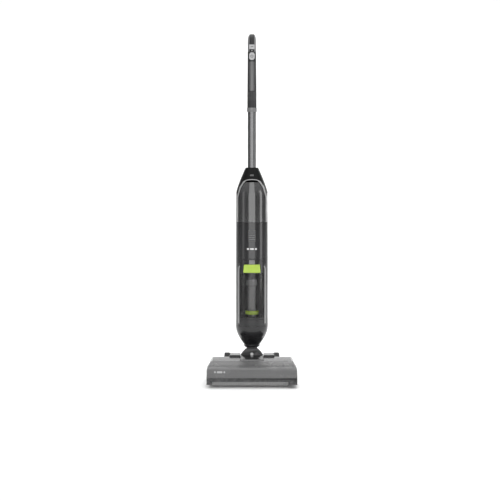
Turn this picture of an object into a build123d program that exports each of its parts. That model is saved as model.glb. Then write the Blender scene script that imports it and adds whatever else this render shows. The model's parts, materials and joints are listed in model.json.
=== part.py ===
from build123d import *
import math
import os

# Wet dry floor scrubber: a powered roller head, a tilting and swivelling neck, and an upright
# with a clean water tank above the motor housing and a dirty water tank below it.
# Units are millimetres. +Z is up, -Y is the front, +X is the right-hand side seen from the front.
# The origin is on the floor, at the middle of the bounding box.

# ---------------------------------------------------------------- driving dimensions
WALL = 2.6                 # moulded wall thickness
GAP = 0.4                  # clearance between pieces that part or move
RUN = 0.05                 # radial clearance of a running fit

ROLLER_Y, ROLLER_Z, ROLLER_R = -83.0, 30.0, 30.0
ROLLER_LEFT, ROLLER_RIGHT = -125.3, 113.5
CORE_R, CORE_BORE_R = 22.0, 19.5
SPLINE_R, SPLINE_TIP_R, SPLINE_COUNT = 15.0, 18.0, 6
HUB_LEFT, HUB_SHAFT_R = 101.0, 8.0
HUB_PULLEY_R, MOTOR_PULLEY_R, BELT_THICK = 14.0, 7.0, 1.6
MOTOR_Y, MOTOR_Z, MOTOR_R = -12.0, 50.0, 17.0
GEARBOX_IN = 114.0         # inner face of the drive arm

CHAMBER_R = 33.0           # inside of the roller chamber
HEAD_HALF = 126.0          # half width of the head between its arms
ARM_LEFT = -134.7          # outer face of the left arm
ARM_RIGHT = 130.0          # joint between the gearbox and its cover
SPLIT_Z = 32.0             # joint between the upper and lower housings
HEAD_REAR = 54.0
SOLE_Z = 3.0

COVER_HALF, COVER_R, COVER_WALL = 140.0, 37.0, 2.5
COVER_BREAK = math.radians(80)     # where the cover's arc runs into its flat top
COVER_REAR_Y = -52.0
BUMPER_TOP, BUMPER_BOTTOM, TAB_BOTTOM = 32.0, 20.0, 11.0

TILT_Y, TILT_Z, SWIVEL_Z = 27.0, 62.0, 84.0
YOKE_HALF, BARREL_R, PIN_R = 36.8, 14.5, 5.0
HUMP_IN, BRACKET_IN, BRACKET_OUT = 37.5, 40.6, 70.8
ARM_BOTTOM = 12.0          # lowest point of the head's arms in front

WHEEL_Y, WHEEL_R, RIM_R = 82.0, 38.0, 31.0
WHEEL_IN, WHEEL_OUT = 71.5, 90.0

BOWL_BOTTOM, BOWL_TOP = 115.0, 179.0
BODY_HALF, BODY_FRONT, BODY_REAR, BODY_CORNER = 51.5, -42.0, 75.0, 46.0
DIRTY_BOTTOM, DIRTY_TOP, DIRTY_HALF, DIRTY_BACK = 202.4, 393.6, 37.0, 26.0
BIN_TOP = 348.0
RAIL_HALF, RAIL_BOTTOM, RAIL_TOP = 46.0, 186.0, 384.0
SEAM_LOW, SEAM_HIGH = 395.0, 508.5
CLEAN_TOP, CLEAN_HALF, CLEAN_BACK = 634.0, 42.0, 12.0
RIM_WIDTH = 6.0
SHOULDER_Z, SHOULDER_TOP = 600.0, 680.0
STANDPIPE_Y, STANDPIPE_R = -8.0, 13.0
HOSE_Y, HOSE_R, HOSE_LOW, HOSE_HIGH = 56.0, 8.0, 72.2, 134.0
FAN_Y = 0.0                # the suction motor's upright axis

TUBE_HALF_X, TUBE_HALF_Y, TUBE_WALL = 13.0, 15.0, 1.8
TUBE_BOTTOM, GRIP_BOTTOM, GRIP_TOP = 662.0, 868.0, 1100.0


# ---------------------------------------------------------------- helpers
def block(x0, x1, y0, y1, z0, z1):
    """An axis-aligned block between two corners."""
    return Pos((x0 + x1) / 2, (y0 + y1) / 2, (z0 + z1) / 2) * Box(x1 - x0, y1 - y0, z1 - z0)


def rod_x(y, z, radius, x0, x1):
    return Pos((x0 + x1) / 2, y, z) * Rot(0, 90, 0) * Cylinder(radius, x1 - x0)


def rod_y(x, z, radius, y0, y1):
    return Pos(x, (y0 + y1) / 2, z) * Rot(90, 0, 0) * Cylinder(radius, y1 - y0)


def rod_z(x, y, radius, z0, z1):
    return Pos(x, y, (z0 + z1) / 2) * Cylinder(radius, z1 - z0)


def side_prism(points, x0, x1, round_r=0):
    """A closed outline of (y, z) points, drawn out along X."""
    face = make_face(Polyline(*points, close=True))
    if round_r:
        face = fillet(face.vertices(), round_r)
    return Pos(x0, 0, 0) * extrude(Plane.YZ * face, x1 - x0)


def front_prism(points, y0, y1, round_r=0):
    """A closed outline of (x, z) points, drawn out along Y."""
    face = make_face(Polyline(*points, close=True))
    if round_r:
        face = fillet(face.vertices(), round_r)
    return Pos(0, y1, 0) * extrude(Plane.XZ * face, y1 - y0)


def mirrored(shape):
    return mirror(shape, about=Plane.YZ)


def roller_rod(radius, x0, x1):
    """A rod on the roller's axis."""
    return rod_x(ROLLER_Y, ROLLER_Z, radius, x0, x1)


def disc_hull(a, b, radius_a, radius_b, x0, x1):
    """Two discs at (y, z) places and the straight sides that wrap them."""
    (ya, za), (yb, zb) = a, b
    span = math.hypot(yb - ya, zb - za)
    lean = math.atan2(zb - za, yb - ya)
    open_angle = math.acos((radius_a - radius_b) / span)
    corners = []
    for (yc, zc), radius, turn in ((a, radius_a, 1), (b, radius_b, 1), (b, radius_b, -1), (a, radius_a, -1)):
        angle = lean + turn * open_angle
        corners.append((yc + radius * math.cos(angle), zc + radius * math.sin(angle)))
    return side_prism(corners, x0, x1) + rod_x(ya, za, radius_a, x0, x1) + rod_x(yb, zb, radius_b, x0, x1)


def form_section(z, grow):
    """Half width, front, rear and corner radius of the upright's body at height z."""
    if z <= BOWL_TOP:
        rise = math.sin(math.pi / 2 * max(0.0, z - BOWL_BOTTOM) / (BOWL_TOP - BOWL_BOTTOM))
        half, front, rear = 26 + 25.5 * rise, 2 - 44 * rise, 52 + 23 * rise
    elif z <= SHOULDER_Z:
        slim = (z - BOWL_TOP) / (SHOULDER_Z - BOWL_TOP)
        half, front, rear = BODY_HALF - 1.5 * slim, BODY_FRONT + 3 * slim, BODY_REAR - 2 * slim
    else:
        fall = (z - SHOULDER_Z) / (SHOULDER_TOP - SHOULDER_Z)
        half = 50 - 30 * fall ** 1.25
        front, rear = -39 + 47 * fall ** 1.1, 73 - 27 * fall ** 1.3
    corner = min(BODY_CORNER, 0.88 * half)
    return half + grow, front - grow, rear + grow, corner + grow


def upright_form(grow=0.0, low=BOWL_BOTTOM, high=SHOULDER_TOP):
    """The body's outer form, as a solid, grown or shrunk by a distance."""
    levels = [115, 124, 133, 142, 151, 160, 170, BOWL_TOP, SHOULDER_Z, 612, 624, 636, 648, 660, SHOULDER_TOP]
    levels = [low] + [z for z in levels if low < z < high] + [high]
    sections = []
    for z in levels:
        half, front, rear, corner = form_section(z, grow)
        outline = RectangleRounded(2 * half, rear - front, corner)
        sections.append(Pos(0, (front + rear) / 2, z) * outline)
    return loft(sections, ruled=True)


def arch_outline(half, bottom, top, corner):
    """An arch seen from the front: straight sides and a rounded top."""
    return [(-half, bottom), (-half, top - corner), (-half + 0.3 * corner, top - 0.3 * corner),
            (-half + corner, top), (half - corner, top), (half - 0.3 * corner, top - 0.3 * corner),
            (half, top - corner), (half, bottom)]


def clean_outline(grow, bottom):
    """The clean tank seen from the front, grown by a distance."""
    half, top = CLEAN_HALF + grow, CLEAN_TOP + grow
    return [(-half, bottom), (-half, 588), (-half + 8, 616 + 0.4 * grow), (-23 - 0.6 * grow, top),
            (23 + 0.6 * grow, top), (half - 8, 616 + 0.4 * grow), (half, 588), (half, bottom)]


def grip_section(z):
    """Half width, centre and half depth of the grip at height z; it leans back towards its top."""
    rise = (z - GRIP_BOTTOM) / (GRIP_TOP - GRIP_BOTTOM)
    return 14.5 - 1.7 * rise, TILT_Y + 16 * rise ** 2, 18.5 - 2.5 * rise


def grip_face(z):
    """Y of the grip's front face at height z."""
    half, centre, depth = grip_section(z)
    return centre - depth


# ---------------------------------------------------------------- head: housings
def head_profile(inset):
    """The head seen from the side, from its front lip to its rear, inset by a wall."""
    return [(-76 + inset, SPLIT_Z - 1), (-76 + inset, 65.6 - inset), (COVER_REAR_Y, 69.8 - inset),
            (COVER_REAR_Y + 0.6 + inset, 69.8 - inset), (COVER_REAR_Y + 0.6 + inset, 73 - inset),
            (-20, 75 - inset), (14, 75 - inset), (38, 70 - inset),
            (HEAD_REAR - inset, 50 - inset), (HEAD_REAR - inset, SPLIT_Z - 1)]


def trunnion_hump(inset):
    """The raised cover over one neck bracket, on the right."""
    outline = [(HUMP_IN + inset, 60), (HUMP_IN + inset, 81 - inset), (70 - inset, 81 - inset),
               (74.5 - inset, 72), (74.5 - inset, 60)]
    return front_prism(outline, 10 + inset, 48 - inset)


def head_outline():
    """The head seen from the front, with the same slanted top corners as its cover."""
    right = [(123.6, 95), (123.6, 75.1), (136.7, 56.4), (136.7, -30)]
    return front_prism([(-x, z) for x, z in reversed(right)] + right, -130, 130)


def below_arms():
    """What is cut away under the arms: down to the split behind, and to their tips in front."""
    return block(-150, 150, -50.2, 80, -20, SPLIT_Z) + block(-150, 150, -130, -47, -20, ARM_BOTTOM)


def bracket_slots():
    """Slots in the rear of the upper housing for the two wheel arms."""
    slot = block(56.6, 71.6, 43, 60, 20, 54)
    return slot + mirrored(slot)


def wheel_wells():
    well = rod_x(WHEEL_Y, WHEEL_R, WHEEL_R + 1.6, WHEEL_IN - 0.7, WHEEL_OUT + 1)
    return well + mirrored(well)


def yoke_notch():
    """Room for the yoke and the upright as they tilt back."""
    return block(-YOKE_HALF - 0.5, YOKE_HALF + 0.5, 6.8, 70, 40, 95)


def head_upper_housing():
    outer = side_prism(head_profile(0), -HEAD_HALF, GEARBOX_IN) - roller_rod(CHAMBER_R, -HEAD_HALF, GEARBOX_IN)
    room = side_prism(head_profile(WALL), -HEAD_HALF + WALL, GEARBOX_IN)
    room -= roller_rod(CHAMBER_R + WALL, -HEAD_HALF, HEAD_HALF)
    left_arm = side_prism(head_profile(0), ARM_LEFT, -HEAD_HALF)
    left_arm += roller_rod(COVER_R - COVER_WALL - GAP, ARM_LEFT, -HEAD_HALF)
    left_arm -= roller_rod(ROLLER_R + 1.6, ARM_LEFT - 1, -HEAD_HALF + 1)
    gearbox = side_prism(head_profile(0), GEARBOX_IN, ARM_RIGHT)
    gearbox += roller_rod(COVER_R - COVER_WALL - GAP, GEARBOX_IN, ARM_RIGHT)
    gearbox -= roller_rod(28, GEARBOX_IN - 1, 118.6)
    gearbox -= roller_rod(HUB_SHAFT_R + RUN, GEARBOX_IN - 1, ARM_RIGHT)
    gearbox -= disc_hull((ROLLER_Y, ROLLER_Z), (MOTOR_Y, MOTOR_Z), 19, 12, 121, ARM_RIGHT + 1)
    humps = trunnion_hump(0) + mirrored(trunnion_hump(0))
    hump_room = trunnion_hump(WALL) + mirrored(trunnion_hump(WALL))
    shell = outer + humps
    shell = shell - room - hump_room + left_arm + gearbox
    shell -= rod_x(MOTOR_Y, MOTOR_Z, MOTOR_R + GAP, 45, 113.5)
    shell -= rod_x(MOTOR_Y, MOTOR_Z, 4, 113, 122)
    shell -= wheel_wells() + yoke_notch() + bracket_slots()
    shell -= block(-12, 12, 48, 60, SPLIT_Z - 2, 41)               # room for the hose elbow
    shell -= below_arms()
    shell -= screw_bores()
    return shell & head_outline()


def neck_fairing():
    """The raised nose on top of the head, in front of the neck."""
    outline = [(-50.5, 73.1), (-46, 77), (-10, 80.5), (6.3, 80.8), (6.3, 75), (-20, 75.02)]
    nose = side_prism(outline, -38, 38)
    sides = [(-38, 70), (-38, 76), (-33, 82), (33, 82), (38, 76), (38, 70)]
    return nose & front_prism(sides, -60, 20)


def head_lower_housing():
    tray = block(-ARM_RIGHT, ARM_RIGHT, -66, HEAD_REAR, SOLE_Z, SPLIT_Z - 0.2)
    tray -= block(-ARM_RIGHT + WALL, ARM_RIGHT - WALL, -66, HEAD_REAR - WALL, SOLE_Z + WALL, SPLIT_Z)
    wall = roller_rod(CHAMBER_R + WALL, -ARM_RIGHT, ARM_RIGHT) & block(-ARM_RIGHT, ARM_RIGHT, -70, -46, SOLE_Z, SPLIT_Z - 0.2)
    tray = (tray + wall) - roller_rod(CHAMBER_R + 0.01, -150, 150)
    tray -= roller_rod(COVER_R - COVER_WALL, ARM_LEFT - 1, -HEAD_HALF + 0.3)
    tray -= roller_rod(COVER_R - COVER_WALL, HEAD_HALF - 12.3, ARM_RIGHT + 1)
    bracket_side = [(13.2, SOLE_Z), (13.2, 70), (19, 76), (36, 76), (42.4, 67), (42.4, 40), (51, SOLE_Z)]
    bracket = side_prism(bracket_side, BRACKET_IN, 57)
    arm = disc_hull((36, 24), (WHEEL_Y, WHEEL_R), 20, 12, 57, BRACKET_OUT)
    web = block(BRACKET_IN, BRACKET_OUT, 14, 46, SOLE_Z, 30)
    bracket = bracket + arm + web
    shell = tray + bracket + mirrored(bracket)
    shell -= block(-150, 150, -130, 130, -20, SOLE_Z)
    shell -= rod_x(TILT_Y, TILT_Z, PIN_R + RUN, -60, 60)
    shell -= rod_x(WHEEL_Y, WHEEL_R, PIN_R, -80, 80)
    shell -= wheel_wells()
    shell -= block(-25, 25, -56, -40, 8, 26)                       # suction mouth
    shell -= block(GEARBOX_IN, 140, -52, -34, 14, 40)              # room for the belt
    shell -= block(-12, 12, 48, 60, 14, 40)                        # room for the hose elbow
    shell -= block(-120, 120, 37.6, 42.4, 0, SOLE_Z + WALL + 1)    # squeegee slot
    shell -= roller_rod(CHAMBER_R + 0.01, -HEAD_HALF, HEAD_HALF - 12)
    return shell


def wiper_bar():
    """The bar that presses on the roller and strips dirty water from it."""
    bar = side_prism([(-52.3, 34), (-50.4, 44), (-55, 50), (-57.5, 46)], -120, 112)
    bar -= roller_rod(ROLLER_R + 0.8, -130, 130)
    bar &= roller_rod(CHAMBER_R - 0.1, -130, 130)
    hook = block(-99, -62, -54.5, -52.5, 36, 46) + block(-23, 23, -54.5, -52.5, 36, 46)
    hook &= roller_rod(CHAMBER_R - 0.1, -130, 130)
    hook -= roller_rod(ROLLER_R + 0.8, -130, 130)
    return bar + hook


def squeegee_blade():
    blade = block(-119.5, 119.5, 38.4, 41.6, 0.4, 7.6)
    lip = side_prism([(38.4, 0.4), (38.4, 3), (40, 3), (41.6, 0.4)], -119.5, 119.5)
    return (blade + lip) - block(-71.2, -BRACKET_IN + 0.3, 30, 50, SOLE_Z, 20) \
        - block(BRACKET_IN - 0.3, 71.2, 30, 50, SOLE_Z, 20)


def suction_inlet_duct():
    """The duct from the suction mouth back to the neck."""
    outer = side_prism([(-47.2, 8), (-47.2, 26), (-24, 30), (5, 58), (22, 44), (-12, 8)], -25, 25)
    inner = side_prism([(-48, 10), (-48, 24), (-23, 28), (4, 60), (24, 46), (-13, 10)], -23, 23)
    outer -= inner
    return outer - roller_rod(CHAMBER_R + WALL + 0.01, -40, 40) - rod_x(TILT_Y, TILT_Z, 21, -40, 40)


def spray_bar():
    bar = rod_x(-42, 56, 4, -110, 44)
    for i in range(9):
        bar += Pos(-104 + 18 * i, -42, 56) * Rot(52, 0, 0) * Pos(0, 0, 4.5) * Cylinder(1.6, 4)
    return bar


def screw_places():
    """Head screws on the underside: x, y and length above the sole."""
    return [(x, y) for x in (-112, 112) for y in (-30, 30)]


def screw_bores():
    bores = rod_z(0, 200, 1, 0, 1)
    for x, y in screw_places():
        bores += rod_z(x, y, 1.6, SPLIT_Z - 2, SPLIT_Z + 4)
    return bores


def head_screws():
    screws = []
    for x, y in screw_places():
        screw = rod_z(x, y, 3.4, SOLE_Z + WALL + 0.1, SOLE_Z + WALL + 2.6) + rod_z(x, y, 1.5, SOLE_Z + WALL, SPLIT_Z + 3)
        screws.append(screw - block(x - 2.6, x + 2.6, y - 0.4, y + 0.4, SOLE_Z, SOLE_Z + WALL + 0.9))
    return Compound(children=screws)


# ---------------------------------------------------------------- head: roller drive
def brush_motor():
    can = rod_x(MOTOR_Y, MOTOR_Z, MOTOR_R, 48, 108)
    can = chamfer(can.edges().filter_by(GeomType.CIRCLE), 1.5)
    nose = rod_x(MOTOR_Y, MOTOR_Z, 8, 108, 111)
    shaft = rod_x(MOTOR_Y, MOTOR_Z, 2.5, 111, 129)
    terminals = block(44, 48, MOTOR_Y - 8, MOTOR_Y - 5, MOTOR_Z - 2, MOTOR_Z + 2)
    terminals += block(44, 48, MOTOR_Y + 5, MOTOR_Y + 8, MOTOR_Z - 2, MOTOR_Z + 2)
    return can + nose + shaft + terminals


def motor_pulley():
    wheel = rod_x(MOTOR_Y, MOTOR_Z, MOTOR_PULLEY_R, 123, 128)
    flange = rod_x(MOTOR_Y, MOTOR_Z, MOTOR_PULLEY_R + 2.4, 122, 122.8) + rod_x(MOTOR_Y, MOTOR_Z, MOTOR_PULLEY_R, 122, 123)
    return wheel + flange - rod_x(MOTOR_Y, MOTOR_Z, 2.5 + RUN, 120, 130)


def drive_belt():
    places = ((ROLLER_Y, ROLLER_Z), (MOTOR_Y, MOTOR_Z))
    inner = disc_hull(*places, HUB_PULLEY_R + 0.3, MOTOR_PULLEY_R + 0.3, 122, 129)
    outer = disc_hull(*places, HUB_PULLEY_R + BELT_THICK, MOTOR_PULLEY_R + BELT_THICK, 123.4, 127.6)
    return outer - inner


def spline(root_r, tip_r, rib, x0, x1):
    """A splined bar on the roller's axis, with straight ribs."""
    bar = roller_rod(root_r, x0, x1)
    for i in range(SPLINE_COUNT):
        rib_bar = block(x0, x1, -rib / 2, rib / 2, 0, tip_r)
        bar += Pos(0, ROLLER_Y, ROLLER_Z) * Rot(i * 360 / SPLINE_COUNT, 0, 0) * rib_bar
    return bar


def drive_hub():
    hub = spline(SPLINE_R, SPLINE_TIP_R, 5, HUB_LEFT, 117)
    nose = Pos(HUB_LEFT - 3, ROLLER_Y, ROLLER_Z) * Rot(0, 90, 0) * Cone(10, SPLINE_R, 6)
    shaft = roller_rod(HUB_SHAFT_R, 117, 128.6)
    pulley = roller_rod(HUB_PULLEY_R, 123, 128)
    flange = roller_rod(HUB_PULLEY_R + 2.6, 121.6, 122.8) + roller_rod(HUB_PULLEY_R, 122, 123)
    return hub + nose + shaft + pulley + flange


def drive_side_cover():
    plate = side_prism(head_profile(0.6), ARM_RIGHT + 0.05, ARM_RIGHT + 3.5)
    plate += roller_rod(COVER_R - COVER_WALL - GAP - 0.6, ARM_RIGHT + 0.05, ARM_RIGHT + 3.5)
    return (plate - below_arms()) & head_outline()


def roller_core():
    core = roller_rod(CORE_R, -124, ROLLER_RIGHT) - roller_rod(CORE_BORE_R, -118, 98)
    core -= spline(SPLINE_R + 0.35, SPLINE_TIP_R + 0.35, 5.7, 97, ROLLER_RIGHT + 1)
    ring = roller_rod(26, ROLLER_RIGHT, 118) - roller_rod(SPLINE_TIP_R + 0.7, ROLLER_RIGHT - 1, 119)
    ring = chamfer(ring.edges().filter_by(GeomType.CIRCLE).sort_by(Axis.X)[-2:], 1.2)
    core -= roller_rod(PIN_R + RUN, -125, -117)
    return core + ring


def roller_sleeve():
    sleeve = roller_rod(ROLLER_R, ROLLER_LEFT, ROLLER_RIGHT)
    sleeve = fillet(sleeve.edges().filter_by(GeomType.CIRCLE), 2.5)
    return sleeve - roller_rod(CORE_R, -130, 120)


def roller_end_cap():
    """The cartridge's end: a plate trimmed flat below, a bearing pin and a pull tab."""
    plate = roller_rod(ROLLER_R + 0.8, -136.6, -126.3) - block(-150, -100, -130, -40, -10, 17)
    plate -= roller_rod(23, -138, -133.6) & block(-150, -100, -130, -40, 22, 70)
    tab = block(-139.6, -133.6, ROLLER_Y - 13, ROLLER_Y + 13, 34, 38)
    tab = fillet(tab.edges().filter_by(Axis.X), 1.5)
    pin = roller_rod(PIN_R, -127, -112)
    return plate + tab + pin


# ---------------------------------------------------------------- head: lift-off cover
def cover_region(inset, x_inset, low):
    """The cover's filled side profile: a skirt that drops straight down, so that it lifts clear."""
    radius = COVER_R - inset
    spots = [(ROLLER_Y - radius * math.cos(a), ROLLER_Z + radius * math.sin(a))
             for a in (0, COVER_BREAK / 2, COVER_BREAK)]
    slope = 1 / math.tan(COVER_BREAK)
    rear_y = COVER_REAR_Y + 20 * (inset > 0)
    rear_z = spots[2][1] + slope * (rear_y - spots[2][0])
    back = [(rear_y, rear_z), (-42 + 20 * (inset > 0), BUMPER_TOP), (-42 + 20 * (inset > 0), low)]
    line = Polyline(spots[2], *back, (ROLLER_Y - radius, low), spots[0])
    face = make_face(ThreePointArc(*spots) + line)
    half = COVER_HALF - x_inset
    return Pos(-half, 0, 0) * extrude(Plane.YZ * face, 2 * half)


def cover_shell(low):
    corners = [(-140, -20), (-140, 58), (-127, 76), (127, 76), (140, 58), (140, -20)]
    inner_corners = [(-137.5, -20), (-137.5, 57), (-126, 73.4), (126, 73.4), (137.5, 57), (137.5, -20)]
    shell = cover_region(0, 0, low) & front_prism(corners, -130, 0)
    room = cover_region(COVER_WALL, COVER_WALL, low - 5) & front_prism(inner_corners, -130, 0)
    arch = roller_rod(ROLLER_R + 2, -150, -130) + block(-150, -130, ROLLER_Y - 32, ROLLER_Y + 32, -10, ROLLER_Z)
    return shell - room - arch


def brush_cover_window():
    return cover_shell(TAB_BOTTOM) & block(-150, 150, -130, 0, BUMPER_TOP + 0.05, 90)


def cover_bumper():
    """The solid strip along the cover's lower edge, with a locating tab at each end."""
    low = cover_shell(TAB_BOTTOM) & block(-150, 150, -130, 0, 0, BUMPER_TOP)
    low -= block(-123, 112, -130, 0, 0, BUMPER_BOTTOM)
    low -= block(-150, 150, -60, 0, 0, BUMPER_BOTTOM)
    return low


# ---------------------------------------------------------------- wheels and neck
def wheel_hub():
    hub = rod_x(WHEEL_Y, WHEEL_R, RIM_R, WHEEL_IN, WHEEL_OUT)
    dish = rod_x(WHEEL_Y, WHEEL_R, RIM_R - 5, WHEEL_OUT - 5, WHEEL_OUT + 1) - rod_x(WHEEL_Y, WHEEL_R, 9, 80, 95)
    spokes = []
    for i in range(5):
        spoke = block(WHEEL_OUT - 5, WHEEL_OUT - 1.5, -2.5, 2.5, 0, RIM_R - 3)
        spokes.append(Pos(0, WHEEL_Y, WHEEL_R) * Rot(72 * i, 0, 0) * spoke)
    hub -= dish
    for spoke in spokes:
        hub += spoke
    return hub - rod_x(WHEEL_Y, WHEEL_R, PIN_R + RUN, 60, 100)


def tyre():
    ring = rod_x(WHEEL_Y, WHEEL_R, WHEEL_R, WHEEL_IN, WHEEL_OUT)
    ring = fillet(ring.edges().filter_by(GeomType.CIRCLE), 3)
    return ring - rod_x(WHEEL_Y, WHEEL_R, RIM_R, 60, 100)


def wheel_axles():
    axle = rod_x(WHEEL_Y, WHEEL_R, PIN_R, 57.5, WHEEL_OUT + 0.5) + rod_x(WHEEL_Y, WHEEL_R, 8, WHEEL_OUT + 0.5, WHEEL_OUT + 2.5)
    return Compound(children=[axle, mirrored(axle)])


def neck_yoke():
    right = [(14, 100), (21, 95.5), (30, 86), (YOKE_HALF, 76), (YOKE_HALF, 56)]
    cheek = [(-x, z) for x, z in reversed(right)] + right
    yoke = rod_x(TILT_Y, TILT_Z, BARREL_R, -YOKE_HALF, YOKE_HALF)
    yoke += block(-YOKE_HALF, YOKE_HALF, 9, 45, 56, 68)
    yoke += front_prism(cheek, 9, 14) + front_prism(cheek, 40, 45)
    yoke -= rod_y(0, SWIVEL_Z, 17.5, 14, 40)
    yoke += rod_y(0, 63, HOSE_R + 1, 44, HOSE_Y) + rod_z(0, HOSE_Y, HOSE_R + 1, 54, HOSE_LOW - 0.2)
    yoke -= rod_y(0, SWIVEL_Z, PIN_R, 0, 60)
    yoke -= rod_x(TILT_Y, TILT_Z, PIN_R, -50, -20) + rod_x(TILT_Y, TILT_Z, PIN_R, 20, 50)
    return yoke


def neck_pins():
    """The swivel pin and the two tilt pins, all fast in the yoke."""
    swivel = rod_y(0, SWIVEL_Z, PIN_R, 8.4, 46)
    swivel += rod_y(0, SWIVEL_Z, 3.7, 7.8, 8.4)
    tilt = rod_x(TILT_Y, TILT_Z, PIN_R, 20, 58)
    return Compound(children=[swivel, tilt, mirrored(tilt)])


def neck_hose():
    """The short ribbed hose behind the neck, from the yoke's elbow up into the bowl."""
    hose = rod_z(0, HOSE_Y, HOSE_R - 1.6, HOSE_LOW, HOSE_HIGH)
    ribs = 12
    pitch = (HOSE_HIGH - HOSE_LOW) / ribs
    for i in range(ribs):
        z = HOSE_LOW + pitch * i
        hose += rod_z(0, HOSE_Y, HOSE_R, z, z + 0.6 * pitch)
    return hose


# ---------------------------------------------------------------- upright: body
def neck_bowl():
    """The bowl under the body, with the tongue that swivels between the yoke's cheeks."""
    bowl = upright_form(0, BOWL_BOTTOM, BOWL_TOP + 0.8) - upright_form(-WALL, BOWL_BOTTOM + 8, BOWL_TOP + 2)
    half, front, rear, corner = form_section(BOWL_BOTTOM, 0)
    middle = (front + rear) / 2
    rings = []
    for z, slim in ((106, 4.5), (110, 0.5), (BOWL_BOTTOM, 0)):
        outline = RectangleRounded(2 * (half - slim), rear - front - 2 * slim, corner - slim)
        rings.append(Pos(0, middle, z) * outline)
    tongue = block(-16.5, 16.5, 14.5, 39.5, SWIVEL_Z, 112) + rod_y(0, SWIVEL_Z, 16.5, 14.5, 39.5)
    tongue -= rod_y(0, SWIVEL_Z, PIN_R + RUN, 0, 60)
    return bowl + loft(rings, ruled=True) + tongue - rod_z(0, HOSE_Y, HOSE_R + 0.1, 90, HOSE_HIGH)


def dirty_bay(grow, back):
    corner = 24 + grow
    outline = arch_outline(DIRTY_HALF + grow, DIRTY_BOTTOM - grow, DIRTY_TOP + grow, corner)
    return front_prism(outline, -80, back)


def rail_band():
    """The pair of light rails beside the dirty tank, seen from the front."""
    outer = arch_outline(RAIL_HALF, RAIL_BOTTOM, RAIL_TOP, 22)
    band = front_prism(outer, -80, -6) - block(-DIRTY_HALF - GAP, DIRTY_HALF + GAP, -90, 0, 100, 450)
    return band


def grille_window(grow=0.0):
    return block(-25 - grow, 25 + grow, 50, 90, 424 - grow, 486 + grow)


def body_screw_places():
    return [(x, z) for z in (206, 352, 560) for x in (-20, 20)]


def rear_shell():
    shell = upright_form(0, BOWL_TOP + 1, SHOULDER_Z) - upright_form(-WALL, BOWL_TOP, SHOULDER_Z + 1)
    shell -= block(-80, 80, -80, 0, SEAM_LOW, SEAM_HIGH)
    shell -= front_prism(clean_outline(RIM_WIDTH + 0.01, SEAM_HIGH), -80, CLEAN_BACK + GAP)
    shell -= dirty_bay(GAP, DIRTY_BACK + GAP)
    shell -= rail_band()
    shell -= grille_window()
    for x, z in body_screw_places():
        shell -= rod_y(x, z, 3.3, 40, 90)
    return shell


def front_panel():
    panel = upright_form(0, SEAM_LOW + 0.2, SEAM_HIGH - 0.3) - upright_form(-WALL, SEAM_LOW - 1, SEAM_HIGH)
    panel &= block(-80, 80, -80, -0.2, SEAM_LOW, SEAM_HIGH)
    return panel - front_prism(lens_outline(), -80, 0, 4)


def lens_outline():
    return [(-13, 449), (-13, 483), (13, 483), (13, 449)]


def display_lens():
    lens = upright_form(0.15, 440, 490) - upright_form(-WALL + 0.8, 430, 500)
    return lens & front_prism(lens_outline(), -80, 0, 4)


def side_rails():
    rails = upright_form(0.6, 182, 390) - upright_form(-WALL, 181, 391)
    return rails & rail_band()


def finger_arch(grow):
    """The rim's arch over the finger gap, seen from the front, or with 0 the gap under it."""
    lift = 0.9 * grow
    half = 21 + 1.4 * grow
    return [(-half, 634.4), (-0.62 * half, 638.8 + lift), (-0.25 * half, 640.4 + lift), (0.25 * half, 640.4 + lift),
            (0.62 * half, 638.8 + lift), (half, 634.4)]


def tank_surround():
    """The light rim around the clean tank, with a gap over the tank for a finger."""
    rim = upright_form(0.5, SEAM_HIGH + 0.1, 650) - upright_form(-WALL, SEAM_HIGH - 1, 651)
    band = front_prism(clean_outline(RIM_WIDTH, SEAM_HIGH), -80, CLEAN_BACK)
    band += front_prism(finger_arch(4), -80, CLEAN_BACK)
    band -= front_prism(clean_outline(GAP, SEAM_HIGH - 1), -80, 20)
    return (rim & band) - front_prism(finger_arch(0) + [(0, 630)], -80, 20)


def shoulder_cap():
    cap = upright_form(0, SHOULDER_Z, SHOULDER_TOP) - upright_form(-WALL, SHOULDER_Z - 1, SHOULDER_TOP - 8)
    cut = front_prism(clean_outline(RIM_WIDTH, 590), -80, CLEAN_BACK + GAP)
    cap -= cut + front_prism(finger_arch(4), -80, CLEAN_BACK + GAP)
    cap -= tube_solid(0, TUBE_BOTTOM, SHOULDER_TOP + 1)
    cap -= block(-6.4, 6.4, -40, 2, 652.6, 658.9)
    return cap


def tank_button():
    button = block(-6, 6, form_section(655.75, 0)[1] - 1, form_section(655.75, 0)[1] + 6, 653, 658.5)
    return fillet(button.edges().filter_by(Axis.Y), 1)


def inner_chassis():
    """Shelves and partitions behind and between the two tanks."""
    plates = block(-60, 60, -60, 80, SEAM_HIGH - 2.7, SEAM_HIGH - 0.3)
    plates += block(-60, 60, CLEAN_BACK + GAP, CLEAN_BACK + 2.8, SEAM_HIGH - 1, 598)
    plates += block(-60, 60, DIRTY_BACK + GAP, DIRTY_BACK + 2.8, 198, SEAM_HIGH - 1)
    plates += block(-60, 60, -60, 80, SEAM_LOW + 0.2, SEAM_LOW + 2.6)
    plates += block(-60, 60, -60, 80, 198.6, 201)
    plates -= rod_z(0, STANDPIPE_Y, STANDPIPE_R + 2.5, 190, 210)
    plates -= rod_z(0, FAN_Y, 30, 390, 500)
    plates -= block(-31, 31, 20, 63, 396, 504)
    plates -= rod_y(0, 522, 7, 5, 20)
    plates -= rod_z(36, 40, 3.2, 150, 600)
    return (plates & upright_form(-WALL, 190, 599)) - rail_band()


# ---------------------------------------------------------------- upright: inside
def battery_pack():
    pack = block(-30, 30, 31, 60, 402, 502)
    return fillet(pack.edges().filter_by(Axis.Z), 6)


def control_board():
    board = block(-16, 16, -34.6, -33, 444, 488)
    board += block(-11, 11, -36.6, -34.6, 452, 480)
    return board + block(-6, 2, -33, -31, 460, 472)


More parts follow.
